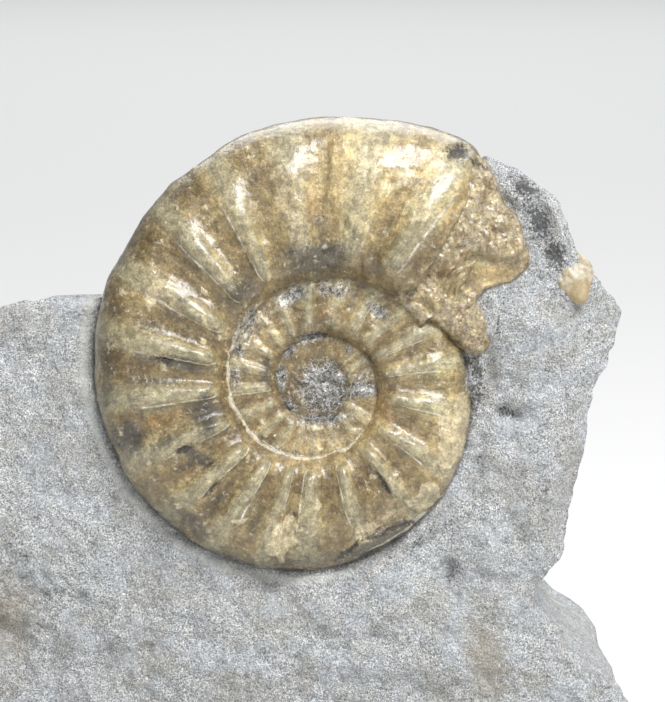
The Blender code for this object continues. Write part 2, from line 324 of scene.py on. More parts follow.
def rib_nearness(angle, share):
    """Distance to the nearest rib's middle line over its half width, the side of it, its height, and how
    strong its painted crest highlight is.
    """
    best = np.full(np.broadcast(angle, share).shape, math.inf)
    height, aside, crest_highlight = np.ones(best.shape), np.ones(best.shape), np.ones(best.shape)
    inward = np.maximum(ROUND_END_AT - share, 0.0) / ROUND_END
    for middle, half, rise, clear in RIBS:
        off = ((angle - middle + 180.0) % 360.0 - 180.0) / half
        here = np.hypot(off, inward)
        height = np.where(here < best, rise, height)
        aside = np.where(here < best, off, aside)
        crest_highlight = np.where(here < best, clear, crest_highlight)
        best = np.minimum(best, here)
    return best, aside, height, crest_highlight


def rib_rise(angle, share):
    """Height of the ribs over the radius: e to the minus n^2.6, lower on the inner turns and where worn."""
    near, _, height, _ = rib_nearness(angle, share)
    last_turn = (1.0 - MIDDLE_TURN_RIBS) * step(*LAST_TURN_FROM, angle)
    by_turn = MIDDLE_TURN_RIBS * step(*MIDDLE_TURN_FROM, angle) + last_turn
    by_turn = by_turn * (1.0 - WORN * band(WORN_FROM, WORN_TO, angle))
    finger = np.exp(-((near / FINGER_WIDTH) ** FINGER_POWER)) * height
    return RIB_HEIGHT * by_turn * (finger - FINGER_MEAN) * band(RIB_STARTS, RIB_FADES, share)


# %% [markdown]
# ## The shell's skin
#
# The skin is a ribbon along the spiral. Its inner row is the last row that shows of the turn inside it, so
# the turns are one skin with no gap. Only the last turn goes on to the edge and round to the far flank. The
# far flank is hidden in the stone, so it has fewer rows.

# %% The ribbon's point numbers
AROUND = 560
FLANK_ROWS, EDGE_ROWS = 36, 24
FAR_FLANK_ROWS, FAR_EDGE_ROWS = 5, 8
COLUMNS = AROUND * TURNS
LAST = COLUMNS - AROUND
column_angles = START_ANGLE + np.arange(COLUMNS + 1) * 360.0 / AROUND

shell_angles, shell_shares, shell_sides = [], [], []
shell_count = 0


def new_points(columns, shares, side):
    """Numbers new points on these columns and shares, and notes where they are on the shell."""
    global shell_count
    angle, share = np.meshgrid(column_angles[columns], shares, indexing="ij")
    ids = shell_count + np.arange(angle.size).reshape(angle.shape)
    shell_angles.append(angle.ravel())
    shell_shares.append(share.ravel())
    shell_sides.append(np.full(angle.size, side))
    shell_count += angle.size
    return ids


def ribbon(side, rows):
    """Point numbers of one flank's ribbon, with each turn's first row taken from the turn inside it."""
    shares = even_shares(SEAM, COVERED, rows + 1)
    every = np.arange(COLUMNS + 1)
    own = new_points(every, shares[1:], side)
    first_turn = new_points(every[:AROUND], shares[:1], side)
    seam = np.concatenate([first_turn[:, 0], own[: COLUMNS + 1 - AROUND, -1]])
    return np.concatenate([seam[:, None], own], axis=1)


near_flank = ribbon(1.0, FLANK_ROWS)
far_flank = ribbon(-1.0, FAR_FLANK_ROWS)
last_turn = np.arange(LAST, COLUMNS + 1)
near_edge = new_points(last_turn, even_shares(COVERED, 1.0, EDGE_ROWS + 1)[1:], 1.0)
far_edge = new_points(last_turn, even_shares(COVERED, 1.0, FAR_EDGE_ROWS + 1)[1:-1], -1.0)
near_outer = np.concatenate([near_flank[LAST:, -1:], near_edge], axis=1)
far_outer = np.concatenate([far_flank[LAST:, -1:], far_edge, near_edge[:, -1:]], axis=1)
print("ribbon points:", shell_count)

# %% [markdown]
# ## Where the shell is broken
#
# The mouth isn't a clean cut. Along one line the smooth flank has come away. The line is given by points on
# the face, and beyond it the ribbon sinks, to leave room for the rough floor that comes later.

# %% The broken mouth
BREAK_LINE_V = (12.0, 14.2, 15.1, 21.2, 25.5, 28.7, 34.0, 37.2, 40.0)
BREAK_LINE_U = (9.0, 13.0, 14.9, 19.2, 21.6, 23.2, 24.0, 27.8, 31.0)
BREAK_LOSS, BREAK_WIDTH, BREAK_LEAN = 0.62, 1.1, 0.85
BREAK_STARTS = 285.0
NOWHERE_NEAR = 9.0
EDGE_WOBBLE, WOBBLE_FROM, WOBBLE_SIZE = 0.009, 0.85, 9.0


def beyond_break(u, v, angle):
    """Millimetres past the line along which the flank has come away, less than u as the line leans."""
    past = (u - np.interp(v, BREAK_LINE_V, BREAK_LINE_U)) * BREAK_LEAN
    return np.where(angle > BREAK_STARTS, past, -NOWHERE_NEAR)


def shell_place(angle, share, side):
    """Face coordinates of the shell: the share of the radius outwards, and the section's height in w."""
    turned = np.radians(angle)
    radius = edge_radius(angle)
    wobble = EDGE_WOBBLE * fractal(np.stack([angle, share, side], axis=-1), WOBBLE_SIZE, 3, 51)
    out = radius * share * edge_left(angle, share) * (1.0 + wobble * step(WOBBLE_FROM, 1.0, share))
    u, v = out * np.cos(turned), -out * np.sin(turned)
    height = radius * (flank(share) + rib_rise(angle, share))
    fallen = BREAK_LOSS * step(0.0, BREAK_WIDTH, beyond_break(u, v, angle)) * step(SEAM, 0.5, share)
    height = height * np.where(side > 0, 1.0 - fallen, 1.0)
    return u, v, side * height


angle = np.concatenate(shell_angles)
share = np.concatenate(shell_shares)
side = np.concatenate(shell_sides)
skin = from_face(*shell_place(angle, share, side))

# %% [markdown]
# ## Closing the skin
#
# The ribbon leaves three openings: the broken mouth and the middle of each flank. The mouth is bridged by a
# few rows from its edge to the turn below it. Each middle is closed by rings that shrink to a point.

# %% Mouth and middles
MOUTH_ROWS = 10
MIDDLE_RINGS = (0.82, 0.62, 0.42, 0.22)
BOSS_HEIGHT = 1.5


def without_slivers(triangles):
    """The triangles whose three corners are three different points."""
    a, b, c = triangles.T
    return triangles[(a != b) & (b != c) & (c != a)]


def mouth_wall(skin, first_id):
    """Points and faces of the wall between the broken edge and the outline of the turn below it."""
    edge = np.concatenate([near_flank[-1], near_edge[-1], far_outer[-1, -2::-1], far_flank[-1, -2::-1]])
    foot = np.concatenate([near_outer[0], far_outer[0, -2::-1]])
    along = np.linspace(0.0, 1.0, len(edge))
    along_foot = np.linspace(0.0, 1.0, len(foot))
    below = np.stack([np.interp(along, along_foot, skin[foot, axis]) for axis in range(3)], axis=1)
    down = np.linspace(0.0, 1.0, MOUTH_ROWS + 2)[1:-1, None, None]
    points = skin[edge][None, 1:-1] * (1.0 - down) + below[None, 1:-1] * down
    ids = first_id + np.arange(points[..., 0].size).reshape(points.shape[:2])
    ends = [np.full((MOUTH_ROWS, 1), edge[0]), np.full((MOUTH_ROWS, 1), edge[-1])]
    rows = np.concatenate([edge[None], np.concatenate([ends[0], ids, ends[1]], axis=1)])
    squares = grid_squares(rows).reshape(MOUTH_ROWS, len(edge) - 1, 4)
    corners = np.concatenate([squares[:, 0][:, [0, 2, 3]], squares[:, -1][:, [0, 1, 2]]])
    triangles = np.concatenate([corners, without_slivers(zip_rows(rows[-1], foot))])
    return points.reshape(-1, 3), squares[:, 1:-1].reshape(-1, 4), triangles


def middle_cap(skin, flank_ids, first_id, side):
    """Points and faces of the rings from the ribbon's inner end to a low boss in the middle."""
    rim = np.concatenate([flank_ids[: AROUND + 1, 0], flank_ids[0, -2:0:-1]])
    centre = from_face(0.0, 0.0, side * BOSS_HEIGHT)
    rings = [centre + (skin[rim] - centre) * share for share in MIDDLE_RINGS]
    ids = first_id + np.arange(len(MIDDLE_RINGS) * len(rim)).reshape(len(MIDDLE_RINGS), -1)
    loops = np.concatenate([rim[None], ids])
    loops = np.concatenate([loops, loops[:, :1]], axis=1)
    fan = np.stack([loops[-1, :-1], np.full(len(rim), ids[-1, -1] + 1), loops[-1, 1:]], axis=1)
    squares = grid_squares(loops)
    if side < 0:
        squares, fan = squares[:, ::-1], fan[:, ::-1]
    return np.concatenate(rings + [centre[None]]), squares, fan


squares = [grid_squares(near_flank), grid_squares(far_flank.T)]
squares += [grid_squares(near_outer), grid_squares(far_outer.T)]
triangles = []
for made in (
    lambda first: mouth_wall(skin, first),
    lambda first: middle_cap(skin, near_flank, first, 1.0),
    lambda first: middle_cap(skin, far_flank, first, -1.0),
):
    points, more_squares, more_triangles = made(len(skin))
    skin = np.concatenate([skin, points])
    squares.append(more_squares)
    triangles.append(more_triangles)
shell = make_piece("ammonite_shell", skin, [np.concatenate(squares), np.concatenate(triangles)])
print("shell faces:", len(shell.data.polygons))

# %% [markdown]
# ## What time has done to the surface
#
# The calcite isn't one smooth skin. Flakes of the outer shell are left in places, other places are rough
# with crystals, and there are dark pits. Each is a soft spot on the face, with noise to break it up.

# %% Spots: across, up, reach along, reach across, direction in degrees, strength
FLAKES = (
    (22, -8.6, 7, 2.4, 70, 1), (17.4, -18.2, 3.6, 2.2, 45, 0.85), (8.6, -23.2, 2.4, 1.1, 25, 0.9),
    (-5, -23.5, 3.4, 1.8, 75, 1), (14, 31, 4, 5, 60, 0.45), (-25.5, 14, 3, 1.6, 60, 0.5),
)
ROUGH_PLACES = (
    (-29, -3, 2, 8, 5, 0.45), (-14, -24, 7, 3, 150, 0.5), (0, -24, 8, 3, 0, 0.5), (-20, 9, 3, 2, 160, 0.4),
    (-1, 20, 5, 2, 0, 0.5), (12, 38, 9, 1.6, 170, 0.5), (-4.5, 29, 3, 8, 10, 0.8), (26, 3, 3, 4, 0, 1),
    (0.5, -0.5, 4.6, 4.2, 0, 1), (8, 31, 3, 6, 80, 0.4), (-22, 19, 7, 4, 130, 0.35),
    (17, 15, 4, 3, 45, 0.8), (-9.5, 9.5, 6, 3, 45, 0.8), (8, 1, 1.6, 3, 0, 0.7), (12, -20.6, 7, 3, 33, 0.8),
    (-2, 6, 4, 2, 0, 0.5), (1, -8.6, 7, 2.6, 0, 0.8), (3, 15, 6, 2, 170, 0.7), (-13, 3, 1.6, 6, 0, 0.6),
)
DARK_PITS = (
    (-3.6, -20.5, 0.5, 1, 10, 0.9), (-16.4, -16.4, 1.9, 0.5, 45, 1), (-20.9, -10.2, 1.6, 0.7, 25, 1),
    (-24.2, 3.9, 1.6, 0.6, 172, 1.1), (10.6, -15.8, 2.6, 0.4, 124, 1.3), (22.4, 36.6, 2.6, 2, 20, 0.95),
    (-22, 31.5, 1.6, 0.5, 50, 0.6), (2.1, 39.9, 1, 0.5, 0, 0.7), (33.5, 23.1, 1.5, 0.5, 108, 1.3),
    (26, 34.6, 2.6, 1, 150, 0.7), (-31.5, -9.6, 1.6, 2.4, 20, 0.5), (-32.6, 8, 1, 2.6, 0, 0.4),
    (9, -25.6, 5, 0.7, 27, 0.45), (1, 20.6, 4, 0.6, 5, 0.5),
)
SMOKY_PLACES = (
    (-33.2, 1.5, 1.8, 9, 0, 0.55), (-21.5, 3.3, 6, 1.3, 172, 0.8), (-17.4, -4.6, 2.4, 3.6, 10, 1),
    (0.4, 20, 6, 2.8, 0, 1), (-12, 14.6, 3, 2.2, 40, 0.8), (-29.4, -8.4, 2.4, 2.8, 0, 1.2),
    (-18.5, -11.6, 3.6, 1.3, 152, 0.9), (-2, -28, 9, 1.3, 0, 0.7), (-20.5, -21, 6, 1.4, 135, 0.7),
    (-24, -9, 5, 1.2, 22, 0.6), (-11, 8.5, 2, 4.4, 140, 0.8), (0, -0.4, 3.2, 3.2, 0, 0.9),
    (-8, 2, 1.2, 3.4, 0, 0.7), (-32, 11.5, 2, 2.4, 0, 0.6), (-21.5, 31, 3.6, 1.2, 50, 0.6),
    (7.5, 1.5, 1.4, 2.6, 0, 0.7), (10, -25.6, 7, 1.5, 29, 1.7), (-25.5, 0.6, 6, 1.2, 0, 0.6),
    (-15.7, -18.1, 4.5, 1.1, 49, 0.6), (-20.4, -12.7, 4.5, 1, 32, 0.6), (-9.8, -21.9, 4, 1, 66, 0.5),
    (-2.6, -24.6, 3.6, 1.2, 84, 0.5), (-24.5, 8.5, 6, 1.2, 165, 0.5), (18, 22.5, 2, 3, 150, 0.5),
    (-1, 25, 5, 3, 0, 0.4),
)
GREY_PLACES = (
    (1.2, -0.5, 3.6, 4, 0, 1.7), (7, -0.7, 3, 1.7, 0, 1.1), (-4.2, -3.4, 2.8, 1.1, 130, 0.85),
    (1, -5.4, 5.6, 1.3, 5, 0.95), (-1, 7.6, 2.4, 1, 10, 1), (5.1, 5.4, 1.4, 1, 130, 0.8),
    (-5.6, 1.5, 1, 3, 0, 0.95), (-4, 14, 3.8, 1.5, 30, 1), (-4.4, 5.4, 2.4, 1, 50, 0.9),
    (-10.8, 10, 2.8, 1.3, 50, 0.85), (-12.4, 5.4, 1, 2, 0, 0.85), (-13, 1.2, 0.8, 3.6, 0, 0.8),
    (-6.4, -10.4, 3, 0.8, 150, 0.75), (2.5, 15, 3.4, 1.2, 172, 0.85), (9.6, 11.8, 2.6, 1.4, 140, 0.85),
    (-9.6, 3.6, 1.6, 1, 20, 0.5),
)
# Pale spots are paler calcite. The large ones high on the top also make it lighter, as painted light for the
# stronger light there.
PALE_PLACES = (
    (27.4, 18.2, 4.6, 2, 6, 0.6), (28, 15.4, 4, 1.2, 10, 1.2), (0, -10.5, 9, 3.6, 0, 0.9),
    (-9, 8, 6, 4, 45, 0.8), (9, -6, 4, 6, 150, 0.7), (6, 33, 8, 9, 0, 1.3), (17, 31, 7, 8, 0, 1.2),
    (-4, 28, 6, 8, 0, 0.7), (-16, 27, 8, 6, 130, 0.5), (20, -6, 5, 11, 0, 0.8), (13, 3, 4, 5, 0, 0.5),
    (6, -10, 6, 4, 30, 0.6), (-26, 15, 5, 3, 60, 0.8), (-9, -5, 3, 6, 0, 0.5), (12, -18, 6, 4, 0, 0.4),
)
ORANGE_PLACES = (
    (-5.5, -21, 1.2, 1.2, 0, 0.9), (22.8, 10.4, 2, 1.4, 0, 1), (27.2, 17.6, 4.6, 2, 5, 0.4),
    (10.5, -3, 2.2, 5, 20, 0.7), (-1, 28, 2.2, 5, 0, 0.55), (31.5, 24, 1.6, 2, 0, 0.6),
    (-24, 13, 6, 1.8, 150, 0.5), (-24.8, -5.5, 4.6, 1.5, 12, 0.7), (-12, 22, 3, 5, 30, 0.5),
    (20, 17.6, 1.6, 5, 135, 0.7), (3, 11.5, 3.4, 2.6, 0, 0.6), (-21, -14.5, 4, 1.4, 35, 0.5),
)
GREEN_PLACES = (
    (18.5, 0, 3.6, 9, 0, 1), (-26, 8, 6, 3, 160, 0.5), (-26, -2, 7, 4, 0, 0.7), (19, 29, 3, 7, 160, 0.7),
    (17, 11.8, 2.6, 2, 0, 0.8), (-10, -20, 8, 4, 150, 0.6), (7, 30, 2, 7, 170, 0.6),
)
COLOUR_PLACES = {
    "smoky": SMOKY_PLACES,
    "orange": ORANGE_PLACES,
    "green": GREEN_PLACES,
    "pale": PALE_PLACES,
    "grey": GREY_PLACES,
}
# Edges of layers: points, drop and how far it reaches in millimetres, on the left, or the right if below 0
LAYER_EDGES = (
    (((15.4, -22.0), (13.4, -22.3), (11.5, -23.6), (7.0, -24.9), (5.4, -26.6), (3.0, -28.2)), -1.2, -6.0),
    (((9.8, 14.4), (7.2, 17.0), (7.4, 20.0), (5.3, 25.5), (1.8, 29.5), (2.0, 34.0)), 0.55, 7.0),
    (((20.5, -16.8), (18.0, -15.0), (19.0, -12.4), (21.0, -10.6), (20.4, -7.0), (21.6, -3.6)), -0.35, -5.0),
    (((-27.0, 13.4), (-24.6, 12.2), (-22.6, 12.6)), 0.4, 3.0),
)
# Cracks: points, strength and half width
CRACKS = (
    (LAYER_EDGES[0][0], 0.85, 0.3), (((-4.5, 21.0), (0.0, 21.6), (6.0, 20.4)), 0.5, 0.4),
    (((-6.0, 14.5), (-10.5, 11.8), (-14.0, 6.5), (-14.8, 1.0)), 0.5, 0.5),
)
CORE_REACH, CORE_HEIGHT = (3.6, 5.2), 1.7


def spots(u, v, places):
    """The strongest of the places at each point: each is its strength times a hump of its own reach."""
    best = np.zeros(u.shape)
    for at_u, at_v, along, across, turn, strength in places:
        c, s = math.cos(math.radians(turn)), math.sin(math.radians(turn))
        du, dv = u - at_u, v - at_v
        reach = ((du * c + dv * s) / along) ** 2 + ((dv * c - du * s) / across) ** 2
        best = np.maximum(best, strength * np.exp(-reach))
    return best


def beside(u, v, chain):
    """Signed distance to a chain of straight pieces: above 0 on the left of the way along it."""
    nearest = np.full(u.shape, math.inf)
    for (u0, v0), (u1, v1) in zip(chain, chain[1:]):
        du, dv = u1 - u0, v1 - v0
        along = np.clip(((u - u0) * du + (v - v0) * dv) / (du * du + dv * dv), 0.0, 1.0)
        away_u, away_v = u - u0 - along * du, v - v0 - along * dv
        distance = np.hypot(away_u, away_v) * np.where(du * away_v - dv * away_u > 0.0, 1.0, -1.0)
        nearest = np.where(np.abs(distance) < np.abs(nearest), distance, nearest)
    return nearest


def cracks(u, v):
    """The strongest of the cracks at each point: its strength times a hump across it."""
    return np.maximum.reduce([strong * hump(beside(u, v, chain), half) for chain, strong, half in CRACKS])


def ledge(u, v, chain, drop, back):
    """A sharp drop on the left of a chain, which eases back to nothing over a distance."""
    away = beside(u, v, chain)
    return -drop * step(-0.15, 0.45, away) * (1.0 - step(0.3 * back, back, away))


def face_of(points):
    """The face coordinates u, v and w of points in the object's frame."""
    away = points - COIL_MIDDLE
    return away @ ACROSS, away @ UP_FACE, away @ OUT_OF_FACE


def face_numbers(u, v):
    """How much of each kind of spot there is at each point, by name."""
    return {name: spots(u, v, places) for name, places in COLOUR_PLACES.items()}


# %% Relief of the calcite: angles in degrees, places as shares of the radius, heights in millimetres
RIBS_END = -400.0
OFF_RIBBON_ANGLE, OFF_RIBBON_SHARE = -720.0, 0.45
LIT_TOWARDS, LIT_FROM, LIT_INNER_TURN, LIT_FADES = 12.0, -60.0, (-205.0, -155.0), (0.74, 0.88)
SEAM_FROM, SEAM_TO = (30.0, 60.0), (225.0, 250.0)
SEAM_LINE_SHARE, SEAM_WANDER, SEAM_THIN, SEAM_WIDER = 0.398, 0.008, 0.004, 0.006
RIM_LINE_FROM, RIM_LINE_TO = (46.0, 52.0), (70.0, 78.0)
RIM_LINE_SHARE, RIM_LINE_WIDTH = 0.985, 0.008
RIM_FROM, RIM_SHARES = -31.0, (0.90, 0.985)
BESIDE_SEAM_SHARES, BESIDE_SEAM_ANGLES = (0.72, 0.78), (-300.0, -125.0)
OLD_SEAM_MIDDLE, OLD_SEAM_AWAY, OLD_SEAM_WIDTH, OLD_SEAM_WANDER = 0.602, 0.206, 0.022, 0.012
OLD_SEAM_ANGLES, OLD_SEAM_INNER_FROM, OLD_SEAM_OUTER_TO = (-650.0, 20.0), -300.0, -340.0
MIDDLE_PART = 13.0
FINE_UNEVEN, BROAD_UNEVEN = 0.05, 0.14
FLAKE_THICKNESS, CRYSTAL_RISE, SEAM_RISE, PIT_DEPTH = 0.26, 0.5, 0.26, 0.35

u, v, w = face_of(skin)
added = len(skin) - shell_count
angle = np.concatenate([angle, np.full(added, OFF_RIBBON_ANGLE)])
share = np.concatenate([share, np.full(added, OFF_RIBBON_SHARE)])
side_of = np.concatenate([side, np.zeros(added)])
core = (1.0 - step(*CORE_REACH, np.hypot(u, v))) * (w > 0.0)
w += (CORE_HEIGHT + 0.3 * fractal(skin, 1.6, 3, 15) - w) * core
skin = from_face(u, v, w)
place(shell, skin)
nearness, aside, _, crest_highlight = rib_nearness(angle, share)
nearness = np.where((angle < RIBS_END) | (core > 0.0), NOWHERE_NEAR, nearness)
ragged = fractal(skin, 2.2, 4, 5)
broken = step(0.0, 0.8, beyond_break(u, v, angle) + 0.4 * ragged)
rough = np.maximum(spots(u, v, ROUGH_PLACES), broken)
flakes = step(0.36, 0.42, spots(u, v, FLAKES) + 0.4 * ragged)
rock_crystals = 0.55 - crystals(skin, 2.3, 9) + 0.45 * (0.5 - crystals(skin, 1.1, 11))
rock_crystals += 0.5 * fractal(skin, 1.6, 3, 10)

# The side of each rib that faces the low light. A painted highlight, a thin near-white line, runs along its
# shoulder.
turned_to_light = np.where(np.cos(np.radians(angle - LIT_TOWARDS)) > 0.0, 1.0, -1.0)
on_inner_turn = between(*LIT_INNER_TURN, angle)
shown = np.where((angle > LIT_FROM) | on_inner_turn, 1.0, 0.0) * (1.0 - broken)
lit = aside * turned_to_light * crest_highlight * shown * (1.0 - step(*LIT_FADES, share))

off_seam = share - SEAM_LINE_SHARE + SEAM_WANDER * fractal(skin, 2.4, 3, 6)
seam_width = SEAM_THIN + SEAM_WIDER * step(-0.8, 0.8, fractal(skin, 2.5, 3, 12))
seam_line = hump(off_seam, seam_width) * band(SEAM_FROM, SEAM_TO, angle)
along_rim = band(RIM_LINE_FROM, RIM_LINE_TO, angle) * (side_of > 0.0)
rim_line = hump(share - RIM_LINE_SHARE, RIM_LINE_WIDTH) * along_rim
beside_seam = step(*BESIDE_SEAM_SHARES, share) * between(*BESIDE_SEAM_ANGLES, angle)
from_old_seam = np.abs(share - OLD_SEAM_MIDDLE) - OLD_SEAM_AWAY
from_old_seam += OLD_SEAM_WANDER * fractal(skin, 2.0, 3, 13)
old_seam = hump(from_old_seam, OLD_SEAM_WIDTH) * between(*OLD_SEAM_ANGLES, angle)
old_seam *= (share < WIDEST) * (angle > OLD_SEAM_INNER_FROM) + (share > WIDEST) * (angle < OLD_SEAM_OUTER_TO)
old_seam *= 0.5 + 0.5 * step(-0.6, 0.6, fractal(skin, 3.0, 2, 14))
dark = np.maximum.reduce([spots(u, v, DARK_PITS), cracks(u, v), 0.34 * beside_seam, 0.6 * old_seam])

lift = FINE_UNEVEN * fractal(skin, 0.9, 2, 7) + BROAD_UNEVEN * fractal(skin, 5.0, 3, 8)
lift += FLAKE_THICKNESS * flakes + CRYSTAL_RISE * rough * rock_crystals + SEAM_RISE * seam_line
lift -= PIT_DEPTH * step(0.4, 0.8, dark + 0.2 * ragged)
layers_kept = (np.hypot(u, v) > MIDDLE_PART) * (1.0 - step(0.93, 1.0, share) * (angle > RIM_FROM))
for chain, drop, back in LAYER_EDGES:
    way = 1 if drop > 0.0 else -1
    lift += ledge(u, v, chain[::way], abs(drop), abs(back)) * layers_kept
skin = push_out(shell, skin, lift)
carry(
    shell,
    rib=nearness,
    lit=lit,
    flake=flakes,
    rough=rough,
    dark=dark,
    seam=np.maximum(seam_line, rim_line),
    rim=step(*RIM_SHARES, share) * (angle > RIM_FROM),
    angle=angle,
    share=share,
    **face_numbers(u, v),
)
print("shell lifted from", lift.min().round(2), "to", lift.max().round(2), "mm")

# %% [markdown]
# ## The floor of the broken mouth
#
# Where the flank has come away, the inside of the shell shows: a lower floor of cream and brown crystals,
# with a smooth hollow, a small hole and a scrap of ribbed shell. It is a closed cushion. Its front is a
# sheet whose height is a mean of a few known heights, with crystals on top; its back is the same sheet,
# laid flat.

# %% The floor's outline and heights
FLOOR_BOTTOM = (
    (12, 14.2), (13.6, 13.2), (17.3, 10), (20.5, 7.9), (23.6, 5), (26.1, 4.4),
)
FLOOR_TOP = ((25.2, 36.4), (27.2, 35.8))
FLOOR_LEFT = (
    (12, 14.2), (14, 15.2), (18.2, 21.4), (20.6, 25.8), (22.2, 28.9), (23, 33.6), (25.2, 36.4),
)
FLOOR_RIGHT = (
    (26.1, 4.4), (28.7, 6), (28, 9.4), (26.8, 11.9), (25.8, 13.4), (27, 14.8), (31.2, 15.8), (34.4, 18.6),
    (34.4, 22.5), (33.4, 25.5), (30, 29), (29, 32.6), (27.2, 35.8),
)
FLOOR_HEIGHTS = (
    (26.6, 35.6, 3), (24.4, 33, 6), (23.6, 28.7, 7.4), (21.8, 25, 7.9), (19.6, 21.2, 7.6),
    (15.6, 15.2, 6.2), (29, 31, 4.2), (33.4, 25, 4.6), (34, 19.8, 4.6), (30.9, 16.9, 4.7), (25, 15.6, 5),
    (26.6, 11.5, 4.2), (28.2, 6.4, 3.4), (17.4, 10.6, 5.2), (20.6, 8.4, 4.8), (24.2, 6, 3.8),
    (27.2, 18, 4.9), (28, 22.4, 6.4), (31.4, 22, 6.2), (22.4, 17, 6.6), (18.6, 13.4, 6.6), (22.6, 10.4, 5),
    (26.6, 27, 6.4), (20.4, 14, 5.6),
)
SMOOTH_FLOOR = (
    (27.2, 17.9, 4.6, 2.2, 6, 1.4), (17.2, 12.6, 1.8, 1.2, 140, 0.9), (28.4, 8.4, 1.4, 2, 0, 0.6),
)
FLOOR_HOLES = (
    (33.5, 23.1, 1.5, 0.6, 108, 2.4), (24.4, 20, 1.6, 0.5, 30, 0.8), (19.4, 17.4, 2.2, 0.5, 60, 0.9),
)
ARCS_AT, ARCS_FROM = (21.6, 16.2, 2.2, 2.8, 0.0, 1.0), (24.6, 14.0)
ARC_WIDTH, ARC_HEIGHT = 0.9, 0.16
BIG_CRYSTALS, SMALL_CRYSTALS, HOLLOW_DEPTH = 1.1, 0.35, 0.5
BORDER_DROP, BORDER_WIDTH = 2.6, 0.55
FLOOR_CELLS = (120, 190)
FLOOR_BACK = -1.0


def floor_height(u, v):
    """A mean of the known heights, each weighted by one over (distance squared plus one), squared."""
    known = np.array(FLOOR_HEIGHTS)
    away = (u[..., None] - known[:, 0]) ** 2 + (v[..., None] - known[:, 1]) ** 2
    weight = (away + 1.0) ** -2.0
    return (weight * known[:, 2]).sum(-1) / weight.sum(-1)


# %% The floor's mesh
plan = sheet(FLOOR_CELLS, FLOOR_BOTTOM, FLOOR_TOP, FLOOR_LEFT, FLOOR_RIGHT)
u, v = plan[..., 0], plan[..., 1]
flat = np.stack([u, v, np.zeros(u.shape)], axis=-1)
to_border = np.minimum(np.abs(beside(u, v, FLOOR_BOTTOM)), np.abs(beside(u, v, FLOOR_RIGHT)))
smooth_floor = np.clip(spots(u, v, SMOOTH_FLOOR), 0.0, 1.0)
scrap = spots(u, v, (ARCS_AT,))
arcs = np.cos(2.0 * math.pi * np.hypot(u - ARCS_FROM[0], v - ARCS_FROM[1]) / ARC_WIDTH)
big_crystals = 0.5 - crystals(flat, 2.6, 41) + 0.4 * fractal(flat, 3.0, 3, 43)
small_crystals = 0.5 - crystals(flat, 0.9, 42) + 0.5 * fractal(flat, 0.8, 2, 44)
loose = (1.0 - smooth_floor) * (1.0 - 0.7 * scrap)
w = floor_height(u, v) - HOLLOW_DEPTH * smooth_floor
w += loose * (BIG_CRYSTALS * big_crystals + SMALL_CRYSTALS * small_crystals)
w += ARC_HEIGHT * arcs * step(0.3, 0.6, scrap) - spots(u, v, FLOOR_HOLES)
w -= BORDER_DROP * hump(to_border, BORDER_WIDTH)
mouth_points = np.concatenate([from_face(u, v, w).reshape(-1, 3), from_face(u, v, FLOOR_BACK).reshape(-1, 3)])
front_ids = np.arange(u.size).reshape(u.shape)
rims = np.stack([rim_of(front_ids), rim_of(front_ids) + u.size])
rims = np.concatenate([rims, rims[:, :1]], axis=1)
mouth_faces = [grid_squares(front_ids), grid_squares((front_ids + u.size).T), grid_squares(rims)]
mouth = make_piece("mouth_floor", mouth_points, [np.concatenate(mouth_faces)])
u, v = np.tile(u.ravel(), 2), np.tile(v.ravel(), 2)
carry(
    mouth,
    rib=1.2,
    lit=0.0,
    flake=0.0,
    rough=np.tile(loose.ravel(), 2),
    # Dark pits, and painted shade in the floor's holes, darker where they are deeper.
    dark=np.maximum(spots(u, v, DARK_PITS), 0.4 * spots(u, v, FLOOR_HOLES)),
    seam=0.0,
    rim=0.0,
    angle=0.0,
    share=0.0,
    **face_numbers(u, v),
)
print("mouth floor faces:", len(mouth.data.polygons))

# %% [markdown]
# ## The stone
#
# The stone is a slab with a rough face, broken sides and a sawn base. Its face is a sheet. The height above
# the coil's middle plane is the sum of a few swells, pits, ledges and noise. Close to the shell the sheet
# dips under the shell's edge.

# %% The stone's outline and height
RIGHT_SIDE = (
    (51.2, -56), (50.5, -51.5), (47.9, -47.6), (45.3, -45.7), (42.7, -44.2), (40.5, -41.6), (38.6, -38.8),
    (36.4, -36.7), (35, -34.9), (35.6, -31.9), (37.4, -29.8), (39, -28.3), (40.3, -21.7), (42, -13.5),
    (43.1, -7.6), (44.2, -0.8), (46.5, 2.8), (48.2, 8.7), (49, 11.6), (47.5, 14.2), (44.2, 17.8),
    (41.9, 20.1), (40.2, 24.6), (38.5, 28.2), (37.4, 30.8),
)
LEFT_SIDE = (
    (-61.6, -56), (-63, -46), (-62, -33), (-63.5, -20), (-61, -6), (-57, 6), (-50.7, 12.4),
)
TOP_SIDE = (
    (-50.7, 12.4), (-46.7, 13.7), (-41.1, 13.9), (-34.7, 14.2), (-28, 17.5), (-18, 22.5), (-6, 26.5),
    (6, 29.5), (17, 33), (27.5, 37), (33.1, 33.8), (37.4, 30.8),
)
BOTTOM_SIDE = ((-61.6, -56.0), (51.2, -56.0))
STONE_SIDES = (BOTTOM_SIDE, TOP_SIDE, LEFT_SIDE, RIGHT_SIDE)
SWELLS = (
    (39, 25, 8, 9, 4.2), (33, 10, 9, 10, 3.4), (40, -9, 9, 13, 1.6), (27, -6, 4, 9, 1),
    (28.5, 9, 5, 6, 1.5), (30, 31, 4, 5, 1.6), (21.5, -31, 4, 7, -0.8), (0, -43, 22, 8, 1.2),
    (-46, -37, 9, 6, -2), (-46, -8, 11, 15, 0.9),
)
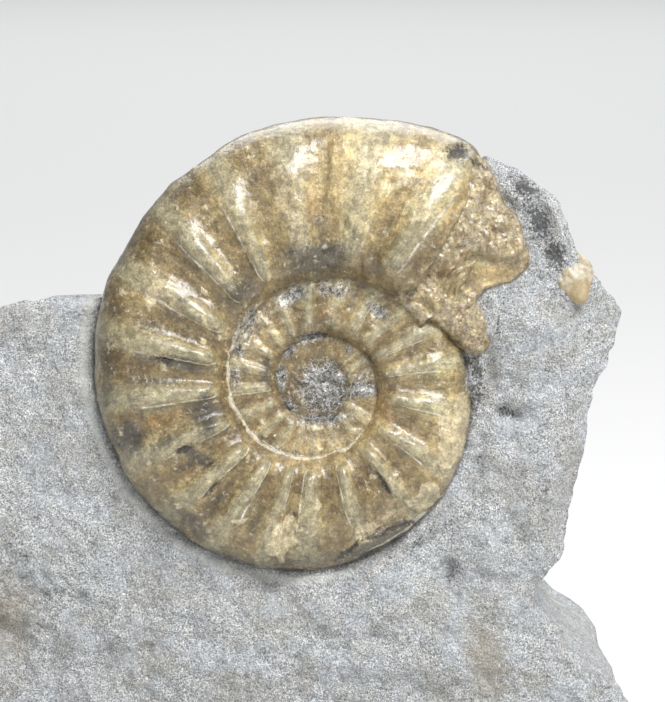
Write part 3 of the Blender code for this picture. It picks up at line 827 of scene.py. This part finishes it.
STONE_PITS = (
    (30.1, -4.4, 3.2, 1.2, 165, 1.9), (21.3, -31.3, 1.3, 3.6, 10, 1.4), (27.6, 1.5, 1, 5, 8, 1.5),
    (26.4, -9, 1, 5, 170, 1.3), (-50, -36, 7, 5, 30, 1.6), (33, -15, 4, 1.2, 40, 0.7),
    (17, -26.5, 6, 0.9, 35, 0.7), (36, 27, 1.2, 3, 30, 0.9), (31.6, 8.6, 2.2, 1, 120, 0.8),
    (-31, -43, 8, 2, 10, 0.7), (5, -41, 9, 1.6, 175, 0.6), (33, -26, 3, 1.2, 60, 0.6),
)
LEDGES = ((-43.0, -40.0, 225.0, 1.8, 7.0), (26.0, -45.0, 345.0, 1.0, 5.0))
FACE_LEVEL = 0.3
LEDGE_WANDER = 3.0
BROAD_RELIEF, FINE_RELIEF = (1.0, 9.0), (0.5, 4.0)
BIG_GRAINS, SMALL_GRAINS = (0.5, 3.4), (0.2, 1.2)
GROOVE_DEPTH, GROOVE_WIDTH = 0.5, 0.9
MOUTH_FILL_FROM, MOUTH_FILL = MOUTH_ANGLE - 12.0, 0.5
FACE_CELLS = (284, 212)
BACK_CELLS = (142, 106)
SIDE_ROWS = 28
STONE_BACK_Y = 21.0
BACK_SHRINK, BACK_SQUAT = 0.96, 0.925
BACK_RELIEF, BACK_RELIEF_SIZE = 1.6, 16.0
SIDE_RELIEF, SIDE_RELIEF_SIZE, SIDE_GRAINS, SIDES_DRAWN_IN = 1.1, 9.0, 0.3, 1.2
OUTLINE_RAGGED = 0.35
FACE_STEP = 0.4
STONE_INSIDE = (-6.0, -30.0, 0.0)
RIM_DROP, RIM_WIDTH = 1.6, 4.0
SUNK = 0.165
BASE_FADE = 8.0


def outer_edge(u, v):
    """Radius of the shell's edge in each point's direction, less where stone fills the broken mouth."""
    turned = np.degrees(np.arctan2(-v, u)) % 360.0
    turned = np.where(turned > MOUTH_ANGLE, turned - 360.0, turned)
    filled = 1.0 - MOUTH_FILL * step(MOUTH_FILL_FROM, MOUTH_ANGLE, turned)
    return edge_radius(turned) * edge_left(turned, 1.0) * filled


def inside_shell(u, v):
    """How far inside the shell's outer edge a point of the face is, in millimetres."""
    return outer_edge(u, v) - np.hypot(u, v)


def stone_height(u, v):
    """Height of the stone's face over the coil's middle plane."""
    height = np.full(u.shape, FACE_LEVEL)
    for at_u, at_v, reach_u, reach_v, swell in SWELLS:
        height += swell * np.exp(-(((u - at_u) / reach_u) ** 2) - ((v - at_v) / reach_v) ** 2)
    flat = np.stack([u, v, np.zeros(u.shape)], axis=-1)
    wander = LEDGE_WANDER * fractal(flat, 7.0, 4, 26)
    for at_u, at_v, falls, drop, width in LEDGES:
        towards = math.radians(falls)
        beyond = (u - at_u) * math.cos(towards) + (v - at_v) * math.sin(towards)
        height -= drop * step(0.0, width, beyond + wander)
    height -= spots(u, v, STONE_PITS) * (1.0 + 0.5 * fractal(flat, 2.0, 3, 29))
    for (rise, size), seed in ((BROAD_RELIEF, 21), (FINE_RELIEF, 22)):
        height += rise * fractal(flat, size, 4, seed)
    for (rise, size), seed in ((BIG_GRAINS, 27), (SMALL_GRAINS, 28)):
        height += rise * (0.5 - crystals(flat, size, seed))
    inside = inside_shell(u, v)
    height -= height * step(1.0, 7.0, inside)
    groove = GROOVE_DEPTH * hump(inside, GROOVE_WIDTH)
    return height - SUNK * outer_edge(u, v) * step(1.5, 6.0, inside) - groove


# %% [markdown]
# The sides are rings from the front rim to the back rim. Noise pushes them in and out, more than it does
# the face, because nobody has cleaned them. The back is a second, coarser sheet.

# %% The stone's mesh
plan = sheet(FACE_CELLS, *STONE_SIDES)
flat = np.concatenate([plan, np.zeros(plan[..., :1].shape)], axis=-1)
ragged = np.stack([fractal(flat, 2.4, 3, 34), fractal(flat, 2.4, 3, 35)], axis=-1)
plan = plan + OUTLINE_RAGGED * ragged * step(0.0, 4.0, plan[..., 1:] + MIDDLE_ABOVE_BASE)
u, v = plan[..., 0], plan[..., 1]
i, j = np.meshgrid(*[np.arange(cells + 1) for cells in FACE_CELLS], indexing="ij")
to_rim = FACE_STEP * np.minimum.reduce([i, FACE_CELLS[0] - i, FACE_CELLS[1] - j])
rim_drop = RIM_DROP * (1.0 - step(0.0, RIM_WIDTH, to_rim)) ** 2
w = stone_height(u, v) - rim_drop * (1.0 - step(1.0, 5.0, inside_shell(u, v)))
v = v - w * math.tan(LEAN) * (1.0 - step(0.0, BASE_FADE, v + MIDDLE_ABOVE_BASE))
front = from_face(u, v, w)
front_ids = np.arange(u.size).reshape(u.shape)

back_plan = sheet(BACK_CELLS, *STONE_SIDES)
back_x = back_plan[..., 0] * BACK_SHRINK
back_z = (back_plan[..., 1] + MIDDLE_ABOVE_BASE) * BACK_SQUAT * math.cos(LEAN)
back_y = np.full(back_x.shape, STONE_BACK_Y)
back = np.stack([back_x, back_y, back_z], axis=-1)
back[..., 1] += BACK_RELIEF * fractal(back, BACK_RELIEF_SIZE, 4, 23)

every_second = rim_of(front)[::2]
rim_back = rim_of(back)
ring_share = np.linspace(0.0, 1.0, SIDE_ROWS + 1)[1:-1, None, None]
rings = every_second * (1.0 - ring_share) + rim_back * ring_share
outwards = rings - from_face(*STONE_INSIDE)
outwards[..., 1] = 0.0
outwards /= np.linalg.norm(outwards, axis=-1, keepdims=True)
outwards[..., 2] *= step(0.0, 2.0, rings[..., 2])
bulge = SIDE_RELIEF * fractal(rings, SIDE_RELIEF_SIZE, 3, 24) + SIDE_GRAINS * fractal(rings, 1.8, 2, 25)
bulge -= SIDES_DRAWN_IN
bulge *= step(0.0, 0.12, ring_share[..., 0]) * step(0.0, 0.12, 1.0 - ring_share[..., 0])
rings = rings + outwards * bulge[..., None]

ring_ids = front_ids.size + np.arange(rings[..., 0].size).reshape(rings.shape[:2])
rim_back_ids = ring_ids[-1, -1] + 1 + np.arange(len(rim_back))
back_inside = rim_back_ids[-1] + 1 + np.arange((BACK_CELLS[0] - 1) * (BACK_CELLS[1] - 1))
back_ids = np.zeros(back_x.shape, dtype=np.int64)
back_ids[1:-1, 1:-1] = back_inside.reshape(BACK_CELLS[0] - 1, -1)
back_ids[:-1, 0] = rim_back_ids[: BACK_CELLS[0]]
back_ids[-1, :-1] = rim_back_ids[BACK_CELLS[0] : sum(BACK_CELLS)]
back_ids[:0:-1, -1] = rim_back_ids[sum(BACK_CELLS) : sum(BACK_CELLS) + BACK_CELLS[0]]
back_ids[0, :0:-1] = rim_back_ids[sum(BACK_CELLS) + BACK_CELLS[0] :]

all_rings = np.concatenate([ring_ids, rim_back_ids[None]])
all_rings = np.concatenate([all_rings, all_rings[:, :1]], axis=1)
rim_ids = rim_of(front_ids)
rim_ids = np.concatenate([rim_ids, rim_ids[:1]])
parts = (front, rings, rim_back, back[1:-1, 1:-1])
stone_points = np.concatenate([points.reshape(-1, 3) for points in parts])
stone_points[:, 2] = np.maximum(stone_points[:, 2], 0.0)
stone_squares = np.concatenate([grid_squares(front_ids), grid_squares(all_rings), grid_squares(back_ids.T)])
stone = make_piece("limestone_block", stone_points, [stone_squares, zip_rows(rim_ids, all_rings[0])])
print("stone faces:", len(stone.data.polygons))

# %% What the stone's colour needs
BEIGE_STAINS = (
    (27, -44, 4, 8, 10, 0.9), (-52, -38, 9, 8, 0, 0.8), (-30, -49, 14, 6, 0, 0.4), (36, -48, 6, 5, 0, 0.4),
    (27, 0, 3, 6, 0, 0.5),
)
# Dark spots on the stone: its own dark speckled patches, and darkening in the pits and in the groove by the
# shell's right edge, which is painted shade.
DARK_STONE = (
    (30.3, -4.4, 3, 1.2, 165, 0.6), (22.5, -29.5, 1.6, 3.6, 20, 0.3), (25.6, 1.5, 1.2, 5, 15, 0.75),
    (-48, -29, 4, 4, 0, 0.35), (-40, -33, 8, 2.4, 20, 0.35), (26, -14, 2, 6, 165, 0.35),
    (17, -25, 8, 1.2, 35, 0.35), (35, -18, 3, 2, 45, 0.3), (31, 33.5, 3, 1.6, 150, 0.5),
    (24.6, -3, 1.6, 5, 165, 0.7), (21.5, -31, 1.6, 3.6, 0, 0.5), (33.4, 31, 3.4, 2, 140, 0.85),
    (35.2, 26, 2.4, 3.8, 20, 0.9), (37.6, 21, 2, 3.6, 20, 0.8), (30, 14, 5, 3, 0, 0.3),
    (38, 4, 7, 12, 0, 0.2), (36, -20, 6, 10, 0, 0.18), (35, -37, 4, 1.6, 130, 0.35),
    (29, 10, 1.6, 3, 0, 0.4),
)
FACE_DEPTH = 4.0
# Painted shade: the stone is darker along its contact with the shell's edge.
CONTACT_WIDTH = 0.7
# Painted highlight: a pale band on the stone a little outside the shell's edge, on the left.
HALO_AWAY, HALO_WIDTH, HALO_ENDS = 1.7, 1.0, 6.0

u, v, w = face_of(stone_points)
on_face = w > -FACE_DEPTH
inside = inside_shell(u, v)
carry(
    stone,
    stain=spots(u, v, BEIGE_STAINS) * on_face,
    dark=spots(u, v, DARK_STONE) * on_face,
    contact=hump(inside, CONTACT_WIDTH) * on_face,
    halo=hump(inside + HALO_AWAY, HALO_WIDTH) * on_face * (u < HALO_ENDS),
)

# %% [markdown]
# ## The chip of pale calcite
#
# A piece of cream calcite, perhaps from another shell, sits in the stone's edge. It is a ball stretched to
# its size, narrower below, with steps where layers have split off.

# %% The chip
CHIP_AT = (40.7, 16.9, 2.4)
CHIP_HALF = (3.5, 2.0, 4.2)
CHIP_TURN = math.radians(-12.0)
CHIP_CELLS = (96, 48)
CHIP_LAYERS_AT = (44.5, 20.5)
CHIP_NARROWING, CHIP_BEND = 0.35, 0.5
CHIP_RELIEF, CHIP_LAYER_STEP, CHIP_LAYER_WIDTH = 0.3, 0.07, 1.1


def lump():
    """A ball of rings from pole to pole, as directions, with its faces."""
    round_angle = np.linspace(0.0, 2.0 * math.pi, CHIP_CELLS[0], endpoint=False)
    height = np.linspace(0.0, math.pi, CHIP_CELLS[1] + 1)[1:-1, None]
    rows = [np.sin(height) * np.cos(round_angle), np.sin(height) * np.sin(round_angle)]
    rows = np.stack(rows + [np.cos(height) * np.ones(round_angle.shape)], axis=-1)
    ids = np.arange(rows[..., 0].size).reshape(rows.shape[:2])
    ids = np.concatenate([ids, ids[:, :1]], axis=1)
    top, bottom = rows[..., 0].size, rows[..., 0].size + 1
    caps = [
        np.stack([ids[0, :-1], ids[0, 1:], np.full(CHIP_CELLS[0], top)], axis=1),
        np.stack([ids[-1, 1:], ids[-1, :-1], np.full(CHIP_CELLS[0], bottom)], axis=1),
    ]
    poles = np.array(((0.0, 0.0, 1.0), (0.0, 0.0, -1.0)))
    return np.concatenate([rows.reshape(-1, 3), poles]), grid_squares(ids), np.concatenate(caps)


ball, ball_squares, ball_caps = lump()
across, out, up = ball[:, 0], ball[:, 1], ball[:, 2]
narrow = 1.0 - CHIP_NARROWING * step(0.2, -0.9, up)
across = across * narrow * CHIP_HALF[0] + CHIP_BEND * up**2
out = out * CHIP_HALF[1]
up = up * CHIP_HALF[2]
chip_u = CHIP_AT[0] + across * math.cos(CHIP_TURN) + up * math.sin(CHIP_TURN)
chip_v = CHIP_AT[1] + up * math.cos(CHIP_TURN) - across * math.sin(CHIP_TURN)
chip_points = from_face(chip_u, chip_v, CHIP_AT[2] + out)
chip = make_piece("pale_chip", chip_points, [ball_squares, ball_caps])
layers = np.hypot(chip_u - CHIP_LAYERS_AT[0], chip_v - CHIP_LAYERS_AT[1])
layers += 0.2 * fractal(chip_points, 1.5, 2, 32)
layers = np.cos(2.0 * math.pi * layers / CHIP_LAYER_WIDTH) * step(-1.5, 1.0, up)
chip_lift = CHIP_RELIEF * fractal(chip_points, 3.0, 3, 31) + CHIP_LAYER_STEP * layers
chip_points = push_out(chip, chip_points, chip_lift)
carry(chip, low=step(1.0, -3.0, up))

# %% [markdown]
# ## Finishes
#
# Calcite is glassy: light goes a millimetre or so into it, and its surface shines. Limestone is dull and
# full of fine grains. Both finishes are noise, mixed by the numbers on the vertices.


# %% Node helpers: the mix node's sockets for colours are known by their numbers
MIX_FIRST, MIX_SECOND, MIX_RESULT = 6, 7, 2


class Finish:
    """A material and its node tree, with short ways to add the nodes that these pieces need."""

    def __init__(self, name, **surface):
        self.material = bpy.data.materials.new(name)
        self.material.use_nodes = True
        self.tree = self.material.node_tree
        self.shader = self.tree.nodes["Principled BSDF"]
        self.set(self.shader, surface)
        place = self.node("TexCoord").outputs["Object"]
        self.place = self.node("VectorMath", {0: place, 1: (1.0 / MM,) * 3}, operation="MULTIPLY").outputs[0]

    def set(self, node, values):
        """Links a socket, or sets a plain value, for each named input of the node."""
        for name, value in values.items():
            if isinstance(value, bpy.types.NodeSocket):
                self.tree.links.new(value, node.inputs[name])
            else:
                node.inputs[name].default_value = value

    def node(self, kind, values=None, **settings):
        """A new node of this kind, with its settings and its inputs."""
        made = self.tree.nodes.new("ShaderNode" + kind)
        for name, value in settings.items():
            setattr(made, name, value)
        self.set(made, values or {})
        return made

    def number(self, name):
        """A number that the mesh carries."""
        return self.node("Attribute", attribute_name=name).outputs["Fac"]

    def noise(self, size, detail=3.0, roughness=0.55, shift=0.0, place=None):
        """Noise with features of about this size in millimetres, from 0 to 1."""
        moved = {0: place or self.place, 1: (shift,) * 3}
        moved = self.node("VectorMath", moved, operation="ADD").outputs[0]
        values = {"Vector": moved, "Scale": 1.0 / size, "Detail": detail, "Roughness": roughness}
        return self.node("TexNoise", values).outputs["Fac"]

    def cells(self, size):
        """Distance to the middle of the nearest cell, in a pattern of cells of this size in millimetres."""
        return self.node("TexVoronoi", {"Vector": self.place, "Scale": 1.0 / size}).outputs["Distance"]

    def maths(self, operation, first, second=0.0, third=0.0):
        """Arithmetic on up to three numbers."""
        return self.node("Math", {0: first, 1: second, 2: third}, operation=operation).outputs[0]

    def rise(self, value, low, high, top=1.0):
        """0 below low, top above high, and an S-shaped rise between."""
        values = {"Value": value, "From Min": low, "From Max": high, "To Max": top}
        return self.node("MapRange", values, interpolation_type="SMOOTHSTEP").outputs["Result"]

    def mix(self, share, first, second):
        """A blend of two colours."""
        made = self.node("Mix", {0: share}, data_type="RGBA")
        for socket, colour in ((MIX_FIRST, first), (MIX_SECOND, second)):
            if isinstance(colour, bpy.types.NodeSocket):
                self.tree.links.new(colour, made.inputs[socket])
            else:
                made.inputs[socket].default_value = (*colour, 1.0)
        return made.outputs[MIX_RESULT]

    def over(self, colour, value, low, high, top, shade):
        """The colour under another, whose share rises to top as the value goes from low to high."""
        return self.mix(self.rise(value, low, high, top), colour, srgb(*shade))

    def shaded(self, colour, value, low, high, darkest, lightest):
        """The colour times a tone that goes from darkest to lightest as the value goes from low to high."""
        made = self.node("Mix", {0: 1.0}, data_type="RGBA", blend_type="MULTIPLY")
        self.tree.links.new(colour, made.inputs[MIX_FIRST])
        self.tree.links.new(self.mix(self.rise(value, low, high), darkest, lightest), made.inputs[MIX_SECOND])
        return made.outputs[MIX_RESULT]

    def plus(self, first, second):
        """A sum of two numbers."""
        return self.maths("ADD", first, second)

    def minus(self, first, second):
        """The first number less the second."""
        return self.maths("SUBTRACT", first, second)

    def product(self, first, second):
        """Two numbers, multiplied."""
        return self.maths("MULTIPLY", first, second)

    def bump(self, height, amount, socket="Normal"):
        """The shader's normal, bent by a height that is given in millimetres once it is times the amount."""
        values = {"Height": height, "Strength": 1.0, "Distance": amount * MM}
        self.set(self.shader, {socket: self.node("Bump", values).outputs["Normal"]})


def srgb(red, green, blue):
    """A colour given as it looks on a screen, from 0 to 255, as the linear numbers that a shader wants."""
    shown = np.array((red, green, blue)) / 255.0
    return tuple(np.where(shown <= 0.04045, shown / 12.92, ((shown + 0.055) / 1.055) ** 2.4).tolist())


# %% Calcite: layers of colour, each as the value, where it starts, where it is full, its share and its shade
GROWTH_STRETCH = 12.0
c = calcite = Finish("calcite_honey", **{"Coat Weight": 1.0, "Coat Roughness": 0.14, "IOR": 1.55})
ragged = c.minus(c.noise(2.0, 6.0, 0.7), 0.5)
crumbs = c.minus(c.noise(0.5, 4.0, 0.75, 50.0), 0.5)
broken = c.plus(ragged, crumbs)
to_rib = c.plus(c.number("rib"), c.product(broken, 0.8))
colour = c.mix(c.rise(c.noise(8.0, 5.0, 0.6), 0.4, 0.6), srgb(118, 98, 58), srgb(158, 138, 90))
for value, low, high, top, shade in (
    (c.noise(2.6, 6.0, 0.7, 30.0), 0.44, 0.64, 0.75, (182, 164, 118)),
    # Pale calcite. At the top it also stands in for the stronger light there, as painted light.
    (c.plus(c.number("pale"), ragged), 0.1, 1.0, 0.85, (232, 207, 150)),
    (c.plus(c.number("green"), ragged), 0.2, 1.0, 0.5, (160, 152, 102)),
    # Between the ribs: the valleys' own olive brown, deepened as painted shade.
    (to_rib, 0.9, 2.1, 0.55, (108, 89, 54)),
):
    colour = c.over(colour, value, low, high, top, shade)
# The ribs' own pale grey-green, made lighter on their tops as a painted sheen.
colour = c.mix(c.minus(0.65, c.rise(to_rib, 0.3, 1.4, 0.65)), colour, srgb(178, 172, 142))
colour = c.over(colour, c.plus(c.number("smoky"), broken), 0.1, 0.85, 0.9, (72, 68, 56))
colour = c.over(colour, c.plus(c.number("orange"), ragged), 0.25, 1.0, 0.6, (168, 122, 66))
rubble = c.mix(c.rise(c.noise(1.7, 6.0, 0.8, 110.0), 0.4, 0.6), srgb(148, 122, 76), srgb(228, 210, 168))
# White specks in the rubble: painted glints on its crystals.
rubble = c.over(rubble, c.noise(0.6, 4.0, 0.8, 95.0), 0.57, 0.67, 0.7, (246, 240, 226))
colour = c.mix(c.rise(c.plus(c.number("rough"), broken), 0.3, 1.0, 0.75), colour, rubble)
colour = c.over(colour, c.number("flake"), 0.2, 0.9, 0.75, (218, 203, 166))
colour = c.mix(c.product(c.number("rim"), 0.35), colour, srgb(136, 126, 98))
grit = c.mix(c.rise(c.noise(0.8, 6.0, 0.85, 60.0), 0.43, 0.57), srgb(26, 30, 34), srgb(156, 160, 162))
colour = c.mix(c.rise(c.plus(c.number("grey"), broken), 0.35, 0.95, 0.85), colour, grit)
colour = c.over(colour, c.plus(c.number("seam"), crumbs), 0.3, 0.65, 0.85, (224, 216, 194))
# A painted highlight: a thin near-white line along each rib's shoulder, on the side that faces the low light.
crest_highlight = c.maths("ABSOLUTE", c.minus(c.number("rib"), c.maths("MULTIPLY_ADD", ragged, 0.25, 0.92)))
crest_highlight = c.minus(1.0, c.rise(crest_highlight, 0.03, 0.15))
crest_highlight = c.product(crest_highlight, c.rise(c.number("lit"), 0.25, 0.75))
crest_highlight = c.product(crest_highlight, c.rise(c.noise(1.8, 4.0, 0.7, 33.0), 0.36, 0.56))
colour = c.mix(c.product(crest_highlight, 0.85), colour, srgb(244, 238, 220))
colour = c.over(colour, c.noise(0.9, 5.0, 0.75, 70.0), 0.63, 0.71, 0.8, (66, 56, 42))
colour = c.over(colour, c.noise(1.1, 5.0, 0.75, 80.0), 0.55, 0.68, 0.6, (226, 218, 192))
growth = {"X": c.number("angle"), "Y": c.product(c.number("share"), GROWTH_STRETCH)}
growth = c.noise(1.5, 5.0, 0.7, place=c.node("CombineXYZ", growth).outputs[0])
for value, low, high, darkest, lightest in (
    (c.noise(0.36, 4.0, 0.8, 22.0), 0.38, 0.62, (0.76, 0.76, 0.76), (1.17, 1.17, 1.17)),
    (c.noise(1.5, 5.0, 0.75, 24.0), 0.4, 0.6, (0.71, 0.7, 0.68), (1.22, 1.22, 1.22)),
    (growth, 0.4, 0.6, (0.86, 0.85, 0.83), (1.12, 1.12, 1.12)),
):
    colour = c.shaded(colour, value, low, high, darkest, lightest)
# Thin strokes in the grey and rough places: the dark ones are dark crystals, and the white ones are painted
# glints.
glints = c.plus(c.number("grey"), c.product(c.number("rough"), 0.6))
glints = c.rise(c.maths("MULTIPLY_ADD", ragged, 1.5, glints), 0.3, 0.9)
for size, shift, shade in ((0.8, 27.0, (40, 38, 36)), (1.0, 28.0, (244, 242, 236))):
    stroke = c.maths("ABSOLUTE", c.minus(c.noise(size, 4.0, 0.65, shift), 0.5))
    stroke = c.product(c.minus(1.0, c.rise(stroke, 0.004, 0.026)), glints)
    colour = c.mix(c.product(stroke, 0.7), colour, srgb(*shade))
dark = c.maths("MULTIPLY_ADD", broken, 1.8, c.number("dark"))
colour = c.over(colour, dark, 0.4, 0.8, 0.92, (36, 32, 28))
c.set(c.shader, {"Base Color": colour, "Roughness": c.rise(c.noise(2.0, 5.0, 0.7, 90.0), 0.1, 0.9, 0.6)})
c.set(c.shader, {"Subsurface Weight": 0.25, "Subsurface Radius": (1.0, 0.55, 0.25), "Subsurface Scale": MM})
rubbly = c.product(c.noise(0.9, 6.0, 0.8, 61.0), c.product(c.number("rough"), 1.7))
wrinkles = c.maths("MULTIPLY_ADD", c.noise(0.7, 4.0, 0.7, 12.0), 0.7, c.product(crest_highlight, 0.5))
swells = c.product(c.noise(1.8, 4.0, 0.6, 15.0), 1.2)
ripples = c.plus(c.plus(wrinkles, swells), c.product(growth, 0.45))
c.bump(c.plus(ripples, rubbly), 0.28)
c.bump(ripples, 0.085, "Coat Normal")

# %% Limestone
s = limestone = Finish("limestone_grey", Roughness=0.85)
blotch = s.minus(s.noise(2.0, 6.0, 0.8, 17.0), 0.5)
pepper = s.minus(s.noise(0.5, 4.0, 0.75, 19.0), 0.5)
peppered = s.plus(s.number("dark"), s.maths("MULTIPLY_ADD", pepper, 2.4, s.product(blotch, 2.0)))
colour = s.mix(s.rise(s.noise(0.24, 3.0, 0.8), 0.4, 0.6), srgb(127, 132, 138), srgb(250, 250, 248))
for value, low, high, top, shade in (
    (s.noise(9.0, 6.0, 0.7, 11.0), 0.44, 0.6, 0.28, (164, 156, 138)),
    (s.noise(5.0, 6.0, 0.7, 61.0), 0.46, 0.62, 0.3, (204, 214, 226)),
    (s.noise(3.0, 6.0, 0.75, 81.0), 0.5, 0.66, 0.3, (128, 132, 134)),
    (s.noise(0.45, 3.0, 0.7, 41.0), 0.55, 0.7, 0.4, (196, 184, 160)),
):
    colour = s.over(colour, value, low, high, top, shade)
colour = s.shaded(colour, s.noise(1.3, 6.0, 0.8, 71.0), 0.42, 0.6, (0.88, 0.88, 0.88), (1.19, 1.19, 1.19))
for value, low, high, top, shade in (
    (s.plus(s.number("stain"), blotch), 0.2, 0.9, 0.6, (172, 160, 136)),
    # Dark speckle, with painted shade in the pits and in the groove by the shell.
    (peppered, 0.35, 0.75, 0.85, (64, 64, 62)),
    # Painted shade along the stone's contact with the shell.
    (s.plus(s.number("contact"), blotch), 0.45, 0.9, 0.6, (96, 90, 78)),
    # Painted highlight along the stone's edge beside the shell.
    (s.plus(s.number("halo"), blotch), 0.3, 1.0, 0.5, (240, 240, 234)),
):
    colour = s.over(colour, value, low, high, top, shade)
s.set(s.shader, {"Base Color": colour})
rock = s.maths("MULTIPLY_ADD", s.noise(1.6, 4.0, 0.65, 5.0), 2.2, s.noise(0.4, 4.0, 0.75, 3.0))
s.bump(s.minus(rock, s.product(s.cells(0.6), 0.5)), 0.55)

# %% Pale calcite
p = pale = Finish("calcite_pale", **{"Roughness": 0.4, "Subsurface Scale": MM, "Subsurface Weight": 0.3})
colour = p.mix(p.rise(p.noise(1.4, 4.0, 0.6), 0.35, 0.65), srgb(164, 150, 118), srgb(214, 208, 190))
colour = p.mix(p.product(p.number("low"), 0.7), colour, srgb(180, 156, 112))
p.set(p.shader, {"Base Color": colour})
p.bump(p.noise(0.5, 4.0, 0.6, 7.0), 0.15)

# %% Which piece has which finish, and which solid it stands for
for piece, finish, node, slot in (
    (shell, calcite, "ammonite", "calcite"),
    (mouth, calcite, "ammonite", "calcite"),
    (stone, limestone, "matrix", "limestone"),
    (chip, pale, "calcite_chip", "pale_calcite"),
):
    piece.data.materials.append(finish.material)
    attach(piece, "root")
    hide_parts(node)

# %% [markdown]
# ## Floor, light and camera
#
# Two kinds of highlight tell where the lights are: a broad soft one on the upper right shoulder of each
# rib, and a hard thin one on the lower left shoulder.
# The hard thin one is also painted into the calcite's colour, as a near-white line.

# %% Stage
CAMERA_DISTANCE = 450.0
IMAGE_MIDDLE = (2.48, 5.36)
IMAGE_HEIGHT = 112.32
SENSOR = 36.0
FLOOR_SIZE = 8.0
FLOOR_TONE = (0.72, 0.72, 0.71, 1.0)
SKY_TONE, SKY_STRENGTH = (0.9, 0.93, 1.0, 1.0), 0.22


def light(name, towards, distance, size, power):
    """A rectangular soft light in this direction of the face (across, up, out), facing the coil."""
    towards = np.array(towards) / np.linalg.norm(towards) * distance
    data = bpy.data.lights.new(name, "AREA")
    data.shape = "RECTANGLE"
    data.size, data.size_y = size
    data.energy = power
    lamp = bpy.data.objects.new(name, data)
    bpy.context.scene.collection.objects.link(lamp)
    at = from_face(*towards) * MM
    lamp.location = at
    away = Vector((at - COIL_MIDDLE * MM).tolist())
    lamp.rotation_euler = away.to_track_quat("Z", "Y").to_euler()


light("key_softbox", (0.42, 0.90, 0.86), 600.0, (0.34, 0.24), 4.6)
light("low_strip", (-0.45, -0.80, 0.70), 520.0, (0.07, 0.05), 0.9)
light("front_fill", (-0.5, 0.3, 1.0), 900.0, (0.5, 0.5), 0.5)
light("floor_light", (0.0, 1.6, -0.9), 1600.0, (1.6, 1.6), 21.0)

floor_data = bpy.data.meshes.new("floor")
half = FLOOR_SIZE / 2.0
floor_corners = [(-half, -half, 0), (half, -half, 0), (half, half, 0), (-half, half, 0)]
floor_data.from_pydata(floor_corners, [], [(0, 1, 2, 3)])
floor = bpy.data.objects.new("floor", floor_data)
bpy.context.scene.collection.objects.link(floor)
paper = Finish("floor_paper", Roughness=0.9)
paper.set(paper.shader, {"Base Color": FLOOR_TONE})
floor.data.materials.append(paper.material)

world = bpy.data.worlds.new("studio")
world.use_nodes = True
sky = world.node_tree.nodes["Background"]
sky.inputs["Color"].default_value = SKY_TONE
sky.inputs["Strength"].default_value = SKY_STRENGTH
bpy.context.scene.world = world
bpy.context.scene.view_settings.view_transform = "Standard"

lens = bpy.data.cameras.new("camera")
lens.sensor_width = SENSOR
lens.lens = SENSOR * CAMERA_DISTANCE / IMAGE_HEIGHT
camera = bpy.data.objects.new("camera", lens)
bpy.context.scene.collection.objects.link(camera)
facing = np.eye(4)
facing[:3, 0], facing[:3, 1], facing[:3, 2] = ACROSS, UP_FACE, OUT_OF_FACE
facing[:3, 3] = from_face(*IMAGE_MIDDLE, CAMERA_DISTANCE) * MM
camera.matrix_world = Matrix(facing.tolist())
bpy.context.scene.camera = camera
